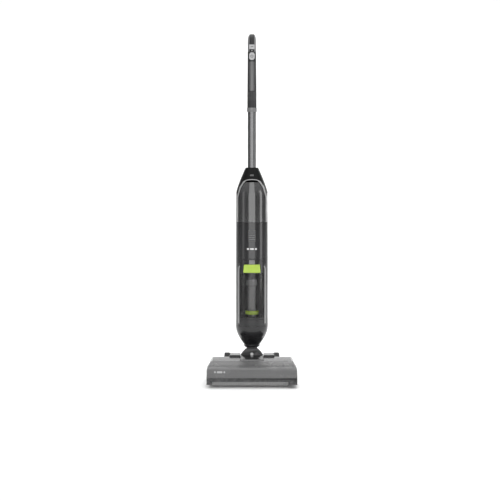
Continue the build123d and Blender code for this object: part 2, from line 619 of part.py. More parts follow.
def suction_motor():
    can = rod_z(0, FAN_Y, 26, 400, 452)
    can = fillet(can.edges().filter_by(GeomType.CIRCLE), 3)
    shroud = rod_z(0, FAN_Y, 28.5, 452, 478) - rod_z(0, FAN_Y, 26.5, 455, 478)
    return can + shroud + rod_z(0, FAN_Y, 3, 450, 474)


def impeller():
    disc = rod_z(0, FAN_Y, 25, 457, 459)
    hub = rod_z(0, FAN_Y, 8, 457, 470)
    shape = disc + hub
    for i in range(9):
        blade = Pos(0, FAN_Y, 0) * Rot(0, 0, 40 * i) * Pos(15, 4, 0) * Rot(0, 0, 35)
        shape += blade * block(-8, 8, -0.7, 0.7, 458, 468)
    return shape - rod_z(0, FAN_Y, 3 + RUN, 450, 480)


def water_pump():
    pump = block(6, 44, 34, 54, 206, 232)
    pump = fillet(pump.edges().filter_by(Axis.X), 4)
    pump &= upright_form(-WALL - 0.5, 190, 260)
    return pump + rod_x(44, 219, 8, -12, 6)


def water_tube():
    return rod_z(36, 40, 3, 232, SEAM_HIGH - 6)


def suction_duct():
    """The slanting duct from the neck up to the foot of the dirty tank."""
    low, high = Pos(0, 27, BOWL_BOTTOM + 8.2), Pos(0, STANDPIPE_Y, 201.4)
    outer = loft([low * Circle(STANDPIPE_R), high * Circle(STANDPIPE_R)])
    return outer - loft([Pos(0, 27, BOWL_BOTTOM + 8) * Circle(11), Pos(0, STANDPIPE_Y, 201.6) * Circle(11)])


def exhaust_grille():
    grille = upright_form(0, 420, 490) - upright_form(-WALL, 419, 491)
    grille &= grille_window(-0.02)
    for i in range(9):
        z = 430.5 + 6.2 * i
        grille -= block(-21, -1.5, 50, 90, z - 1.7, z + 1.7) + block(1.5, 21, 50, 90, z - 1.7, z + 1.7)
    return grille


def body_screws():
    screws = []
    for x, z in body_screw_places():
        screw = rod_y(x, z, 3.1, 68.6, 71.4) + rod_y(x, z, 1.5, 56, 69)
        screws.append(screw - block(x - 2.4, x + 2.4, 70.4, 72, z - 0.45, z + 0.45))
    return Compound(children=screws)


# ---------------------------------------------------------------- upright: handle
def tube_solid(shrink, z0, z1):
    outline = RectangleRounded(2 * (TUBE_HALF_X - shrink), 2 * (TUBE_HALF_Y - shrink), 9 - shrink)
    return Pos(0, TILT_Y, z0) * extrude(outline, z1 - z0)


def handle_tube():
    return tube_solid(0, TUBE_BOTTOM, GRIP_BOTTOM + 14) - tube_solid(TUBE_WALL, TUBE_BOTTOM - 1, GRIP_BOTTOM + 15)


def grip_collar():
    outer = Pos(0, TILT_Y, 856) * extrude(RectangleRounded(32, 41, 13), 11.9)
    outer = fillet(outer.edges().group_by(Axis.Z)[0], 1.5)
    groove = Pos(0, TILT_Y, 860.5) * extrude(RectangleRounded(34, 43, 14) - RectangleRounded(30.8, 39.8, 12.4), 1.6)
    return outer - groove - tube_solid(0, 850, 880)


def grip_form():
    sections = []
    for z in (GRIP_BOTTOM, 910, 960, 1010, 1050, 1080, 1092, GRIP_TOP):
        half, centre, depth = grip_section(z)
        tip = 1 - 0.42 * max(0.0, (z - 1080) / 20) ** 2
        outline = RectangleRounded(2 * half * tip, 2 * depth * tip, 0.85 * half * tip)
        sections.append(Pos(0, centre, z) * outline)
    return loft(sections, ruled=True)


def grip_split(y_shift):
    """The half-space in front of the grip's moulding joint."""
    outline = [(-60, 860)]
    for z in (860, 910, 960, 1010, 1050, 1080, 1110):
        outline.append((grip_section(z)[1] + y_shift, z))
    return side_prism(outline + [(-60, 1110)], -40, 40)


def grip_front():
    front = grip_form() & grip_split(-0.1)
    front -= tube_solid(0, 850, GRIP_BOTTOM + 14)
    front -= front_prism([(-9.9, 1016.6), (-9.9, 1042.4), (9.9, 1042.4), (9.9, 1016.6)], -10, 27, 4.5)
    return front - block(-8.9, 8.9, -10, 31, 1051.6, 1066.4)


def grip_rear():
    rear = grip_form() - grip_split(0.1)
    return rear - tube_solid(0, 850, GRIP_BOTTOM + 14)


def power_button():
    face = grip_face(1042)
    outline = [(-9.5, 1017), (-9.5, 1042), (9.5, 1042), (9.5, 1017)]
    return front_prism(outline, face - 2.5, face + 4, 4.2)


def mode_button():
    face = grip_face(1066)
    outline = [(-8.5, 1052), (-8.5, 1066), (8.5, 1066), (8.5, 1052)]
    return front_prism(outline, face - 2.2, face + 4, 2)


# ---------------------------------------------------------------- clean water tank
def clean_solid(inset, bottom):
    outline = clean_outline(-inset, bottom)
    return upright_form(-0.3 - inset, SEAM_HIGH + 0.6 + inset, 650) & front_prism(outline, -80, CLEAN_BACK - inset)


def clean_tank():
    tank = clean_solid(0, SEAM_HIGH + 0.6) - clean_solid(2.2, SEAM_HIGH + 2.8)
    return tank - rod_y(0, 522, 5, 5, 20)


def clean_tank_valve():
    valve = rod_y(0, 522, 5, CLEAN_BACK - 3, CLEAN_BACK + 5) + rod_y(0, 522, 7, CLEAN_BACK - 6, CLEAN_BACK - 2.3)
    return valve - rod_y(0, 522, 2, -10, 40)


# ---------------------------------------------------------------- dirty water tank
def dirty_solid(inset, bottom, top):
    outline = arch_outline(DIRTY_HALF - inset, bottom, DIRTY_TOP - inset, 24 - inset)
    body = upright_form(-0.3 - inset, DIRTY_BOTTOM - 1, DIRTY_TOP + 1) & front_prism(outline, -80, DIRTY_BACK - inset)
    return body & block(-60, 60, -80, 80, bottom, top)


def dirty_tank_base():
    base = dirty_solid(0, DIRTY_BOTTOM, DIRTY_BOTTOM + 6)
    return base - rod_z(0, STANDPIPE_Y, STANDPIPE_R, 190, 220)


def dirty_tank_bin():
    low = DIRTY_BOTTOM + 6.05
    return dirty_solid(0, low, BIN_TOP) - dirty_solid(2.2, low - 1, BIN_TOP + 1)


def standpipe():
    pipe = rod_z(0, STANDPIPE_Y, STANDPIPE_R, DIRTY_BOTTOM, 308)
    pipe += rod_z(0, STANDPIPE_Y, 16, 308, 327)
    for i in range(4):
        z = 327 + 5.2 * i
        pipe += rod_z(0, STANDPIPE_Y, 15, z, z + 5.2) + rod_z(0, STANDPIPE_Y, 22, z + 1.6, z + 4)
    return pipe - rod_z(0, STANDPIPE_Y, 11, 190, 360)


def dirty_tank_lid():
    lid = dirty_solid(0, BIN_TOP + 0.1, DIRTY_TOP) - dirty_solid(2.4, BIN_TOP + 3, DIRTY_TOP - 3)
    lid -= rod_z(0, STANDPIPE_Y, 15.2, 340, 356)
    lid -= block(-27.2, 27.2, -60, -31, 350.6, 376.8)
    return lid - block(-9.4, 9.4, -60, -31, 376.7, 393)


def lid_block():
    """The bright grip block on the front of the dirty tank's lid."""
    outline = [(-27, 351), (-25, 376.5), (25, 376.5), (27, 351)]
    return front_prism(outline, -43.2, -31.2, 2.5)


def tank_latch():
    return front_prism([(-9, 377), (-9, 391), (9, 391), (9, 377)], -42.4, -33, 2.5)


def filter_cartridge():
    body = block(-26, 26, -26, 20, 353, 384)
    for i in range(12):
        y = -24 + 3.6 * i
        body -= block(-23, 23, y, y + 1.6, 356, 390)
    return body - rod_z(0, STANDPIPE_Y, 16, 340, 356)


def float_ring():
    ring = rod_z(0, STANDPIPE_Y, 22, 216, 231)
    ring = fillet(ring.edges().filter_by(GeomType.CIRCLE), 2.5)
    return ring - rod_z(0, STANDPIPE_Y, STANDPIPE_R + 0.5, 200, 240)


# ---------------------------------------------------------------- output
def main():
    hub, rubber = wheel_hub(), tyre()
    nodes = {
        "head_upper_housing": head_upper_housing(),
        "neck_fairing": neck_fairing(),
        "head_lower_housing": head_lower_housing(),
        "wiper_bar": wiper_bar(),
        "squeegee_blade": squeegee_blade(),
        "suction_inlet_duct": suction_inlet_duct(),
        "spray_bar": spray_bar(),
        "brush_motor": brush_motor(),
        "drive_side_cover": drive_side_cover(),
        "drive_belt": drive_belt(),
        "wheel_axles": wheel_axles(),
        "head_screws": head_screws(),
        "brush_cover_window": brush_cover_window(),
        "cover_bumper": cover_bumper(),
        "roller_end_cap": roller_end_cap(),
        "roller_core": roller_core(),
        "roller_sleeve": roller_sleeve(),
        "drive_hub": drive_hub(),
        "motor_pulley": motor_pulley(),
        "wheel_hub_right": hub,
        "tyre_right": rubber,
        "wheel_hub_left": mirrored(hub),
        "tyre_left": mirrored(rubber),
        "neck_yoke": neck_yoke(),
        "neck_pins": neck_pins(),
        "neck_hose": neck_hose(),
        "neck_bowl": neck_bowl(),
        "rear_shell": rear_shell(),
        "front_panel": front_panel(),
        "display_lens": display_lens(),
        "side_rails": side_rails(),
        "tank_surround": tank_surround(),
        "shoulder_cap": shoulder_cap(),
        "inner_chassis": inner_chassis(),
        "battery_pack": battery_pack(),
        "control_board": control_board(),
        "suction_motor": suction_motor(),
        "impeller": impeller(),
        "water_pump": water_pump(),
        "water_tube": water_tube(),
        "suction_duct": suction_duct(),
        "exhaust_grille": exhaust_grille(),
        "body_screws": body_screws(),
        "handle_tube": handle_tube(),
        "grip_collar": grip_collar(),
        "grip_front": grip_front(),
        "grip_rear": grip_rear(),
        "power_button": power_button(),
        "mode_button": mode_button(),
        "tank_button": tank_button(),
        "clean_tank": clean_tank(),
        "clean_tank_valve": clean_tank_valve(),
        "dirty_tank_bin": dirty_tank_bin(),
        "dirty_tank_base": dirty_tank_base(),
        "standpipe": standpipe(),
        "dirty_tank_lid": dirty_tank_lid(),
        "lid_block": lid_block(),
        "tank_latch": tank_latch(),
        "filter_cartridge": filter_cartridge(),
        "float_ring": float_ring(),
    }
    os.makedirs("parts", exist_ok=True)
    for name, shape in nodes.items():
        export_step(shape, f"parts/{name}.step")
    print(len(nodes), "nodes written")


main()
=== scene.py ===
# %% [markdown]
# A wet dry floor scrubber, dressed for its picture.
# The CAD model already holds every size, joint and mount. This notebook builds the parts that are
# seen: smooth moulded shells, smoked clear tanks, a microfibre roller, soft grips and clean metal.
# Everything is placed from the CAD boxes, so a piece never has to be fitted by eye.

# %% Load the frame
import json
import math
import bmesh
import bpy
from mathutils import Matrix, Vector

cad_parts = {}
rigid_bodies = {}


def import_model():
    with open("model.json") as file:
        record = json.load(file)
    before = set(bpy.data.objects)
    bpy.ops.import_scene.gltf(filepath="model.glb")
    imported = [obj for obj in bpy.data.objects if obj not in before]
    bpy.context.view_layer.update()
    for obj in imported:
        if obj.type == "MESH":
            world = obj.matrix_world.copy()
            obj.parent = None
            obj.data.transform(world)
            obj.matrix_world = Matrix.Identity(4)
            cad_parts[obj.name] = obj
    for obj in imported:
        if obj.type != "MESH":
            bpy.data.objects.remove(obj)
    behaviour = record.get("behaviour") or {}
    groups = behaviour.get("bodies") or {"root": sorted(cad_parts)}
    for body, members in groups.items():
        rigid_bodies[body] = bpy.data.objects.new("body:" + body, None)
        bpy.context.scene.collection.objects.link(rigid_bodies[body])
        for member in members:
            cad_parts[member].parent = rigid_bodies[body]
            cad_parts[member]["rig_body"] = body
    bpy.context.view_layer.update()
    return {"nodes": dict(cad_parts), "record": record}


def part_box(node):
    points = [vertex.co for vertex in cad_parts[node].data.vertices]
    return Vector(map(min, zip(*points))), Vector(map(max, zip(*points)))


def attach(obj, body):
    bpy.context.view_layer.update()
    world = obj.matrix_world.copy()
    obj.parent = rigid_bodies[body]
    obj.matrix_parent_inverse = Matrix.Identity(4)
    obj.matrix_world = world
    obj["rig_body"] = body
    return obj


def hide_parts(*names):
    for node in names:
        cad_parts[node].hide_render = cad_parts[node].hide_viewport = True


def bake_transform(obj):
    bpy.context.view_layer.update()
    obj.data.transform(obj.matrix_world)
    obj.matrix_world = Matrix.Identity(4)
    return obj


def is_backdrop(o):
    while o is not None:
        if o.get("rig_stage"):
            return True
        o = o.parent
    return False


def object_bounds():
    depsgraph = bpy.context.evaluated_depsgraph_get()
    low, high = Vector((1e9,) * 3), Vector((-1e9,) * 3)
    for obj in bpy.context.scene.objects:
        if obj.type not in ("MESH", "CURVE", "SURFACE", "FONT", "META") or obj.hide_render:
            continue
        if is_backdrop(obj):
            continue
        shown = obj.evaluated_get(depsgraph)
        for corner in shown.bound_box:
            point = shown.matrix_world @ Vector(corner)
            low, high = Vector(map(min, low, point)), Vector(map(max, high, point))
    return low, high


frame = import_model()
NODES = frame["nodes"]
SLOTS = {part["node"]: part["material_slot"] for part in frame["record"]["subparts"]}
MM = 0.001


# %% [markdown]
# Lengths below are easier to read in millimetres, so outlines are written that way and turned into
# metres at the one place where a mesh is made. span() gives a CAD node's box in millimetres.

# %% Reading sizes
def span(node):
    """Lowest and highest corners of a CAD node, in millimetres."""
    low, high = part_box(node)
    return low / MM, high / MM


def middle(node):
    low, high = span(node)
    return (low + high) / 2


roller_low, roller_high = span("roller_sleeve")
ROLLER = middle("roller_sleeve")
ROLLER_R = (roller_high.z - roller_low.z) / 2
WHEEL = middle("tyre_right")
WHEEL_R = span("tyre_right")[1].z - WHEEL.z
COVER_R = ROLLER.y - span("brush_cover_window")[0].y
TUBE = middle("handle_tube")
shell_low = span("rear_shell")[0]
print("radii: roller", round(ROLLER_R, 1), "wheel", round(WHEEL_R, 1), "cover", round(COVER_R, 1))

# %% [markdown]
# The camera comes first. It stands three metres in front, a little above the tanks, with a long
# lens, the way a catalogue picture is taken: uprights stay straight and the head shows its top.

# %% Camera
camera = bpy.data.cameras.new("camera")
camera.lens, camera.sensor_width = 71.0, 36.0
camera_object = bpy.data.objects.new("camera", camera)
bpy.context.scene.collection.objects.link(camera_object)
eye, target = Vector((-0.006, -3.12, 0.65)), Vector((-0.006, 0.02, 0.418))
camera_object.location = eye
camera_object.rotation_euler = (target - eye).to_track_quat("-Z", "Y").to_euler()
bpy.context.scene.camera = camera_object

# %% [markdown]
# Node trees turn up all through this notebook, in the world, the materials and the geometry. Three
# small helpers keep them readable: one adds nodes, one sets their plain values, one links them.


# %% Node helpers
def add_nodes(tree, *kinds):
    """New nodes of these kinds, in the same order."""
    return [tree.nodes.new(kind) for kind in kinds]


def feed(node, **values):
    """Sets the values of a node's inputs. An underscore stands for a space."""
    for label, value in values.items():
        node.inputs[label.replace("_", " ")].default_value = value


def wire(tree, *rows):
    """Links, each given as (node, output, node, input)."""
    for source, output, sink, entry in rows:
        tree.links.new(source.outputs[output], sink.inputs[entry])


# %% [markdown]
# Dark glossy plastic is mostly seen by what it reflects. Tall soft boxes in front, to the right and,
# dimmer, to the left give the body its upright stripes, a high one in front carries the middle
# stripe over the slope of the tank, and others light the floor and the wall. The floor curves up
# into a backdrop so that no horizon line shows, and the camera sees a white world beyond it.


# %% Stage and lights
def plain_material(name, color, roughness):
    material = bpy.data.materials.new(name)
    material.use_nodes = True
    feed(material.node_tree.nodes["Principled BSDF"], Base_Color=(*color, 1), Roughness=roughness)
    return material


def backdrop():
    """A floor that turns up into a wall behind the object."""
    rows = [(-16.0, 0.0), (3.0, 0.0)]
    turns = [math.radians(9 * i) for i in range(1, 11)]
    rows += [(3.0 + 2.0 * math.sin(a), 2.0 - 2.0 * math.cos(a)) for a in turns]
    rows.append((5.0, 7.0))
    verts = [(x, y, z) for y, z in rows for x in (-14.0, 14.0)]
    faces = [(2 * i, 2 * i + 1, 2 * i + 3, 2 * i + 2) for i in range(len(rows) - 1)]
    mesh = bpy.data.meshes.new("backdrop")
    mesh.from_pydata(verts, [], faces)
    mesh.shade_smooth()
    wall = bpy.data.objects.new("backdrop", mesh)
    bpy.context.scene.collection.objects.link(wall)
    mesh.materials.append(plain_material("pale_floor", (0.93, 0.93, 0.93), 0.9))
    wall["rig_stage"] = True


def soft_box(name, azimuth, distance, height, width, tall, power, aim=(0, 0, 0.45)):
    """An area light at an angle round from the front, turned towards a point."""
    light = bpy.data.lights.new(name, "AREA")
    light.shape, light.size, light.size_y, light.energy = "RECTANGLE", width, tall, power
    lamp = bpy.data.objects.new(name, light)
    turn = math.radians(azimuth)
    lamp.location = (distance * math.sin(turn), -distance * math.cos(turn), height)
    look = Vector(aim) - lamp.location
    lamp.rotation_euler = look.to_track_quat("-Z", "Y").to_euler()
    bpy.context.scene.collection.objects.link(lamp)


backdrop()
soft_box("front_box", 0, 3.6, 0.75, 1.45, 2.3, 27)
soft_box("front_high_box", 0, 2.3, 2.5, 0.7, 2.4, 11)
soft_box("right_box", 62, 2.6, 1.1, 1.0, 3.2, 26)
soft_box("left_box", -56, 2.8, 1.0, 0.9, 2.8, 8)
soft_box("top_box", 180, 0.6, 3.4, 2.6, 2.6, 85, aim=(0, 0.6, 0))
soft_box("rear_box", 150, 2.6, 1.2, 1.0, 1.6, 10)
soft_box("wall_box", 180, 1.6, 3.6, 5.0, 1.2, 110, aim=(0, 5, 1.2))
world = bpy.data.worlds.new("studio")
bpy.context.scene.world = world
world.use_nodes = True
sky = world.node_tree
background = sky.nodes["Background"]
sky_place, sky_split, sky_range, seen, view_mix = add_nodes(
    sky, "ShaderNodeTexCoord", "ShaderNodeSeparateXYZ", "ShaderNodeMapRange", "ShaderNodeLightPath",
    "ShaderNodeMix")
feed(sky_range, From_Min=0.0, From_Max=0.9, To_Min=0.08, To_Max=0.5)
feed(view_mix, B=0.95)
feed(background, Color=(1, 1, 1, 1))
wire(sky, (sky_place, "Generated", sky_split, "Vector"), (sky_split, "Z", sky_range, "Value"),
     (seen, "Is Camera Ray", view_mix, "Factor"), (sky_range, "Result", view_mix, "A"),
     (view_mix, "Result", background, "Strength"))
bpy.context.scene.view_settings.view_transform = "Standard"

# %% [markdown]
# Two effects turn up in nearly every plastic here. The first is the fine spark texture of a mould,
# with broad cloudy patches where hands have polished it. The second is a painted highlight: a paler
# line along convex edges. Each is a node group that hands values to the materials.


# %% Shared shader groups
def new_group(name, sockets_in, sockets_out):
    tree = bpy.data.node_groups.new(name, "ShaderNodeTree")
    for label, kind, value in sockets_in:
        socket = tree.interface.new_socket(label, in_out="INPUT", socket_type=kind)
        if value is not None:
            socket.default_value = value
    for label, kind in sockets_out:
        tree.interface.new_socket(label, in_out="OUTPUT", socket_type=kind)
    return tree, tree.nodes.new("NodeGroupInput"), tree.nodes.new("NodeGroupOutput")


def moulded_grain():
    """Fine texture height and a cloudy mask, from object coordinates."""
    tree, into, out = new_group(
        "moulded_grain",
        [("Vector", "NodeSocketVector", None), ("Grain Scale", "NodeSocketFloat", 900.0),
         ("Cloud Scale", "NodeSocketFloat", 14.0)],
        [("Height", "NodeSocketFloat"), ("Cloud", "NodeSocketFloat")])
    grain, cloud = add_nodes(tree, "ShaderNodeTexNoise", "ShaderNodeTexNoise")
    feed(grain, Detail=3)
    feed(cloud, Detail=5, Roughness=0.6)
    wire(tree, (into, "Vector", grain, "Vector"), (into, "Grain Scale", grain, "Scale"),
         (into, "Vector", cloud, "Vector"), (into, "Cloud Scale", cloud, "Scale"),
         (grain, "Fac", out, "Height"), (cloud, "Fac", out, "Cloud"))
    return tree


def painted_edge_highlight():
    """A painted highlight: a mask that is bright on convex edges, broken up by noise."""
    tree, into, out = new_group(
        "painted_edge_highlight",
        [("Vector", "NodeSocketVector", None), ("Breakup", "NodeSocketFloat", 120.0)],
        [("Mask", "NodeSocketFloat")])
    geometry, ramp, noise, product = add_nodes(
        tree, "ShaderNodeNewGeometry", "ShaderNodeMapRange", "ShaderNodeTexNoise", "ShaderNodeMath")
    feed(ramp, From_Min=0.53, From_Max=0.62)
    product.operation, product.use_clamp = "MULTIPLY", True
    wire(tree, (geometry, "Pointiness", ramp, "Value"), (into, "Vector", noise, "Vector"),
         (into, "Breakup", noise, "Scale"), (ramp, "Result", product, 0), (noise, "Fac", product, 1),
         (product, "Value", out, "Mask"))
    return tree


GRAIN, EDGE_HIGHLIGHT = moulded_grain(), painted_edge_highlight()

# %% [markdown]
# One recipe makes the moulded materials: a base colour that drifts between two close tones, a
# roughness that follows the same clouds, a bump from the grain, and a paler edge that is a painted
# highlight. The gloss itself comes from the coat on the shader, which is why coat and roughness are
# plain numbers there.


# %% Material recipe
def moulded(name, color, roughness, grain=0.15, scale=900.0, drift=0.12, edge=0.25, cloud=14.0,
            **sockets):
    material = bpy.data.materials.new(name)
    material.use_nodes = True
    tree = material.node_tree
    shader = tree.nodes["Principled BSDF"]
    place, texture, edge_highlight, tint, highlight_mix, rough, bump = add_nodes(
        tree, "ShaderNodeTexCoord", "ShaderNodeGroup", "ShaderNodeGroup", "ShaderNodeMix",
        "ShaderNodeMix", "ShaderNodeMapRange", "ShaderNodeBump")
    texture.node_tree, edge_highlight.node_tree = GRAIN, EDGE_HIGHLIGHT
    feed(texture, Grain_Scale=scale, Cloud_Scale=cloud)
    tint.data_type = highlight_mix.data_type = "RGBA"
    feed(tint, A=(*[c * (1 - drift) for c in color], 1),
         B=(*[min(1, c * (1 + drift)) for c in color], 1))
    # Painted highlight: the edge mask lightens the colour towards white on convex edges, by the edge
    # amount.
    feed(highlight_mix, B=(*[c + edge * (1 - c) * 0.5 for c in color], 1))
    feed(rough, From_Min=0.3, From_Max=0.7, To_Min=max(0.02, roughness * 0.85),
         To_Max=min(1, roughness * 1.2))
    feed(bump, Strength=grain, Distance=0.0003)
    wire(tree, (place, "Object", texture, "Vector"), (place, "Object", edge_highlight, "Vector"),
         (texture, "Cloud", tint, "Factor"), (tint, "Result", highlight_mix, "A"), (edge_highlight, "Mask", highlight_mix, "Factor"),
         (highlight_mix, "Result", shader, "Base Color"), (texture, "Cloud", rough, "Value"),
         (rough, "Result", shader, "Roughness"), (texture, "Height", bump, "Height"),
         (bump, "Normal", shader, "Normal"))
    feed(shader, **sockets)
    return material


def coat(weight, roughness, **more):
    """A clear coat, with any other settings of the same material."""
    return dict(Coat_Weight=weight, Coat_Roughness=roughness, **more)


# Each row: colour, roughness, depth of the grain, other settings.
PLASTICS = {
    "charcoal_gloss": ((0.013, 0.013, 0.014), 0.24, 0.02, coat(0.2, 0.08)),
    "panel_gloss": ((0.02, 0.02, 0.021), 0.18, 0.02, coat(0.2, 0.05)),
    "tank_smoke": ((0.05, 0.05, 0.051), 0.1, 0.02, coat(1.0, 0.04, Alpha=0.93)),
    "shoulder_black": ((0.006, 0.006, 0.006), 0.36, 0.03, dict(Specular_IOR_Level=0.1)),
    "strip_grey": ((0.11, 0.11, 0.111), 0.3, 0.03, coat(0.3, 0.1)),
    "rail_grey": ((0.035, 0.035, 0.036), 0.3, 0.05, coat(0.3, 0.1)),
    "bumper_grey": ((0.014, 0.014, 0.015), 0.4, 0.1, dict(Specular_IOR_Level=0.25)),
    "charcoal_satin": ((0.02, 0.02, 0.021), 0.46, 0.35, dict(scale=1300.0)),
    "grey_plastic": ((0.19, 0.19, 0.191), 0.32, 0.05, coat(0.3, 0.15)),
    "pipe_grey": ((0.25, 0.25, 0.251), 0.4, 0.05, {}),
    "cage_grey": ((0.04, 0.04, 0.041), 0.35, 0.05, {}),
    # light_trim colours the pale strips painted as highlights along the rails and the rim, and the cover
    # mark.
    "light_trim": ((0.34, 0.34, 0.342), 0.25, 0.03, coat(0.5, 0.1)),
    "rubber_black": ((0.016, 0.016, 0.016), 0.7, 0.4, dict(scale=700.0, Specular_IOR_Level=0.3)),
    "tyre_rubber": ((0.03, 0.03, 0.03), 0.75, 0.5, dict(scale=600.0, Specular_IOR_Level=0.3)),
    "grip_rubber": ((0.035, 0.035, 0.036), 0.6, 0.5, dict(scale=800.0)),
    "alloy": ((0.66, 0.66, 0.68), 0.3, 0.1, dict(scale=400.0, Metallic=1.0)),
    "display_black": ((0.012, 0.012, 0.014), 0.1, 0.02, coat(1.0, 0.04)),
    "button_grey": ((0.46, 0.46, 0.465), 0.35, 0.12, {}),
    "lime_plastic": ((0.40, 0.58, 0.035), 0.3, 0.08, coat(0.4, 0.1, drift=0.08)),
    "battery_blue": ((0.03, 0.07, 0.2), 0.35, 0.1, {}),
    "smoked_clear": ((0.12, 0.12, 0.122), 0.14, 0.03, coat(0.6, 0.05, Alpha=0.82)),
    # edge here strengthens the painted edge highlight on the clear bin.
    "tank_clear": ((0.003, 0.003, 0.003), 0.06, 0.0, coat(1.0, 0.03, edge=0.3, Alpha=0.18)),
    "cover_smoke": ((0.14, 0.14, 0.141), 0.25, 0.02,
                    coat(0.1, 0.12, Alpha=0.88, Specular_IOR_Level=0.22)),
}
MATERIALS = {name: moulded(name, color, roughness, grain, **more)
             for name, (color, roughness, grain, more) in PLASTICS.items()}

# %% [markdown]
# A few finishes need something of their own. Zinc plate is drawn metal, so its noise is stretched
# along the piece. The tube is satin paint over aluminium. Microfibre is matt, with a sheen at its
# edges and loops that catch the light in small specks. Filter paper shows fibres, and the circuit
# board is green lacquer over copper tracks, which a brick pattern stands in for.


# %% Special materials
def only(tree, kind):
    """The one node of a kind in a material."""
    return next(node for node in tree.nodes if node.type == kind)


def drawn_metal(name, color, roughness, stretch):
    """Metal with fine lines that run along one axis."""
    material = moulded(name, color, roughness, 0.12, 500.0, Metallic=1.0)
    tree = material.node_tree
    lines, mapping = add_nodes(tree, "ShaderNodeTexNoise", "ShaderNodeMapping")
    feed(mapping, Scale=stretch)
    feed(lines, Scale=1.0)
    wire(tree, (only(tree, "TEX_COORD"), "Object", mapping, "Vector"),
         (mapping, "Vector", lines, "Vector"), (lines, "Fac", only(tree, "BUMP"), "Height"))
    return material


def microfibre():
    """Matt grey pile: specks of light and dark loops, and faint bands where the pile was wound."""
    material = moulded("microfibre", (0.40, 0.40, 0.40), 0.95, 0.9, 1500.0, drift=0.25, edge=0.0,
                       cloud=420.0, Sheen_Weight=0.5, Sheen_Roughness=0.6, Specular_IOR_Level=0.1)
    tree = material.node_tree
    shader = tree.nodes["Principled BSDF"]
    colour = shader.inputs["Base Color"].links[0].from_socket
    wave, shade = add_nodes(tree, "ShaderNodeTexWave", "ShaderNodeMix")
    shade.data_type, shade.blend_type = "RGBA", "MULTIPLY"
    feed(wave, Scale=45.0, Distortion=2.0)
    feed(shade, Factor=0.12)
    tree.links.new(colour, shade.inputs["A"])
    wire(tree, (only(tree, "TEX_COORD"), "Object", wave, "Vector"), (wave, "Color", shade, "B"),
         (shade, "Result", shader, "Base Color"))
    return material


def circuit_board():
    material = moulded("board_green", (0.01, 0.10, 0.04), 0.35, 0.1)
    tree = material.node_tree
    tracks = tree.nodes.new("ShaderNodeTexBrick")
    feed(tracks, Color1=(0.01, 0.09, 0.035, 1), Color2=(0.015, 0.12, 0.045, 1),
         Mortar=(0.45, 0.30, 0.08, 1), Scale=260.0, Mortar_Size=0.03)
    wire(tree, (only(tree, "TEX_COORD"), "Object", tracks, "Vector"),
         (tracks, "Color", tree.nodes["Principled BSDF"], "Base Color"))
    return material


MATERIALS["zinc_steel"] = drawn_metal("zinc_steel", (0.5, 0.5, 0.5), 0.3, (60, 900, 900))
MATERIALS["tube_paint"] = moulded("tube_paint", (0.125, 0.125, 0.127), 0.22, 0.06, 1500.0,
                                  Metallic=0.85)
MATERIALS["microfibre"] = microfibre()
MATERIALS["board_green"] = circuit_board()
MATERIALS["filter_media"] = moulded("filter_media", (0.72, 0.72, 0.68), 0.9, 0.8, 1100.0, drift=0.15,
                                    edge=0.0)
PRINTS = {"pale_print": ((0.75, 0.75, 0.75), 0.4), "mid_print": ((0.02, 0.02, 0.02), 0.3),
          "mid_glow": ((0.16, 0.16, 0.165), 0.3)}
for name, (color, roughness) in PRINTS.items():
    MATERIALS[name] = moulded(name, color, roughness, 0.02, edge=0.0)
print(len(MATERIALS), "materials")

# %% [markdown]
# Every CAD node first gets its material, so that an inner part is finished even where it is only
# seen through a smoked wall or when a tank is pulled out. Later cells hide the nodes whose look is
# rebuilt.

# %% Paint the CAD nodes
for node, part in NODES.items():
    part.data.materials.clear()
    part.data.materials.append(MATERIALS[SLOTS[node]])


# %% [markdown]
# The shells are made the way a mould maker cuts them: a closed form, less whatever is hollow or
# open. These helpers build closed prisms and lofts, cut one with another, and then finish the edge
# with a small round, because no moulded edge is truly sharp.


# %% Mesh helpers
def build(name, verts, faces):
    """A closed mesh from points in millimetres, with its faces turned outwards."""
    mesh = bpy.data.meshes.new(name)
    mesh.from_pydata([Vector(v) * MM for v in verts], [], faces)
    work = bmesh.new()
    work.from_mesh(mesh)
    bmesh.ops.remove_doubles(work, verts=work.verts, dist=1e-6)
    bmesh.ops.recalc_face_normals(work, faces=work.faces)
    work.to_mesh(mesh)
    work.free()
    piece = bpy.data.objects.new(name, mesh)
    bpy.context.scene.collection.objects.link(piece)
    return piece


def rounded(points, radius, steps=6):
    """An outline whose corners are turned into arcs. radius is one value, or one for each point."""
    outline = []
    for i, point in enumerate(points):
        r = radius[i] if isinstance(radius, (list, tuple)) else radius
        corner = Vector(point)
        u = Vector(points[i - 1]) - corner
        v = Vector(points[(i + 1) % len(points)]) - corner
        reach = 0.48 * min(u.length, v.length)
        u.normalize()
        v.normalize()
        half = u.angle(v) / 2
        if r <= 0 or half > math.pi / 2 - 0.01:
            outline.append(tuple(corner))
            continue
        along = min(r / math.tan(half), reach)
        r = along * math.tan(half)
        centre = corner + (u + v).normalized() * r / math.sin(half)
        first, last = corner + u * along - centre, corner + v * along - centre
        a, b = math.atan2(first.y, first.x), math.atan2(last.y, last.x)
        sweep = (b - a + math.pi) % (2 * math.pi) - math.pi
        turns = [a + sweep * k / steps for k in range(steps + 1)]
        outline += [tuple(centre + r * Vector((math.cos(t), math.sin(t)))) for t in turns]
    return outline


def loft(name, rings):
    """A closed solid through rings that all have the same number of points."""
    count, last = len(rings[0]), (len(rings) - 1) * len(rings[0])
    verts = [point for ring in rings for point in ring]
    faces = [(r + i, r + (i + 1) % count, r + count + (i + 1) % count, r + count + i)
             for r in range(0, last, count) for i in range(count)]
    faces += [tuple(range(count)), tuple(range(last, last + count))]
    return build(name, verts, faces)


def prism(name, outline, axis, start, end):
    """An outline drawn out along an axis: (y, z) along X, (x, z) along Y, (x, y) along Z."""
    def place(a, b, depth):
        return {"X": (depth, a, b), "Y": (a, depth, b), "Z": (a, b, depth)}[axis]
    return loft(name, [[place(a, b, depth) for a, b in outline] for depth in (start, end)])


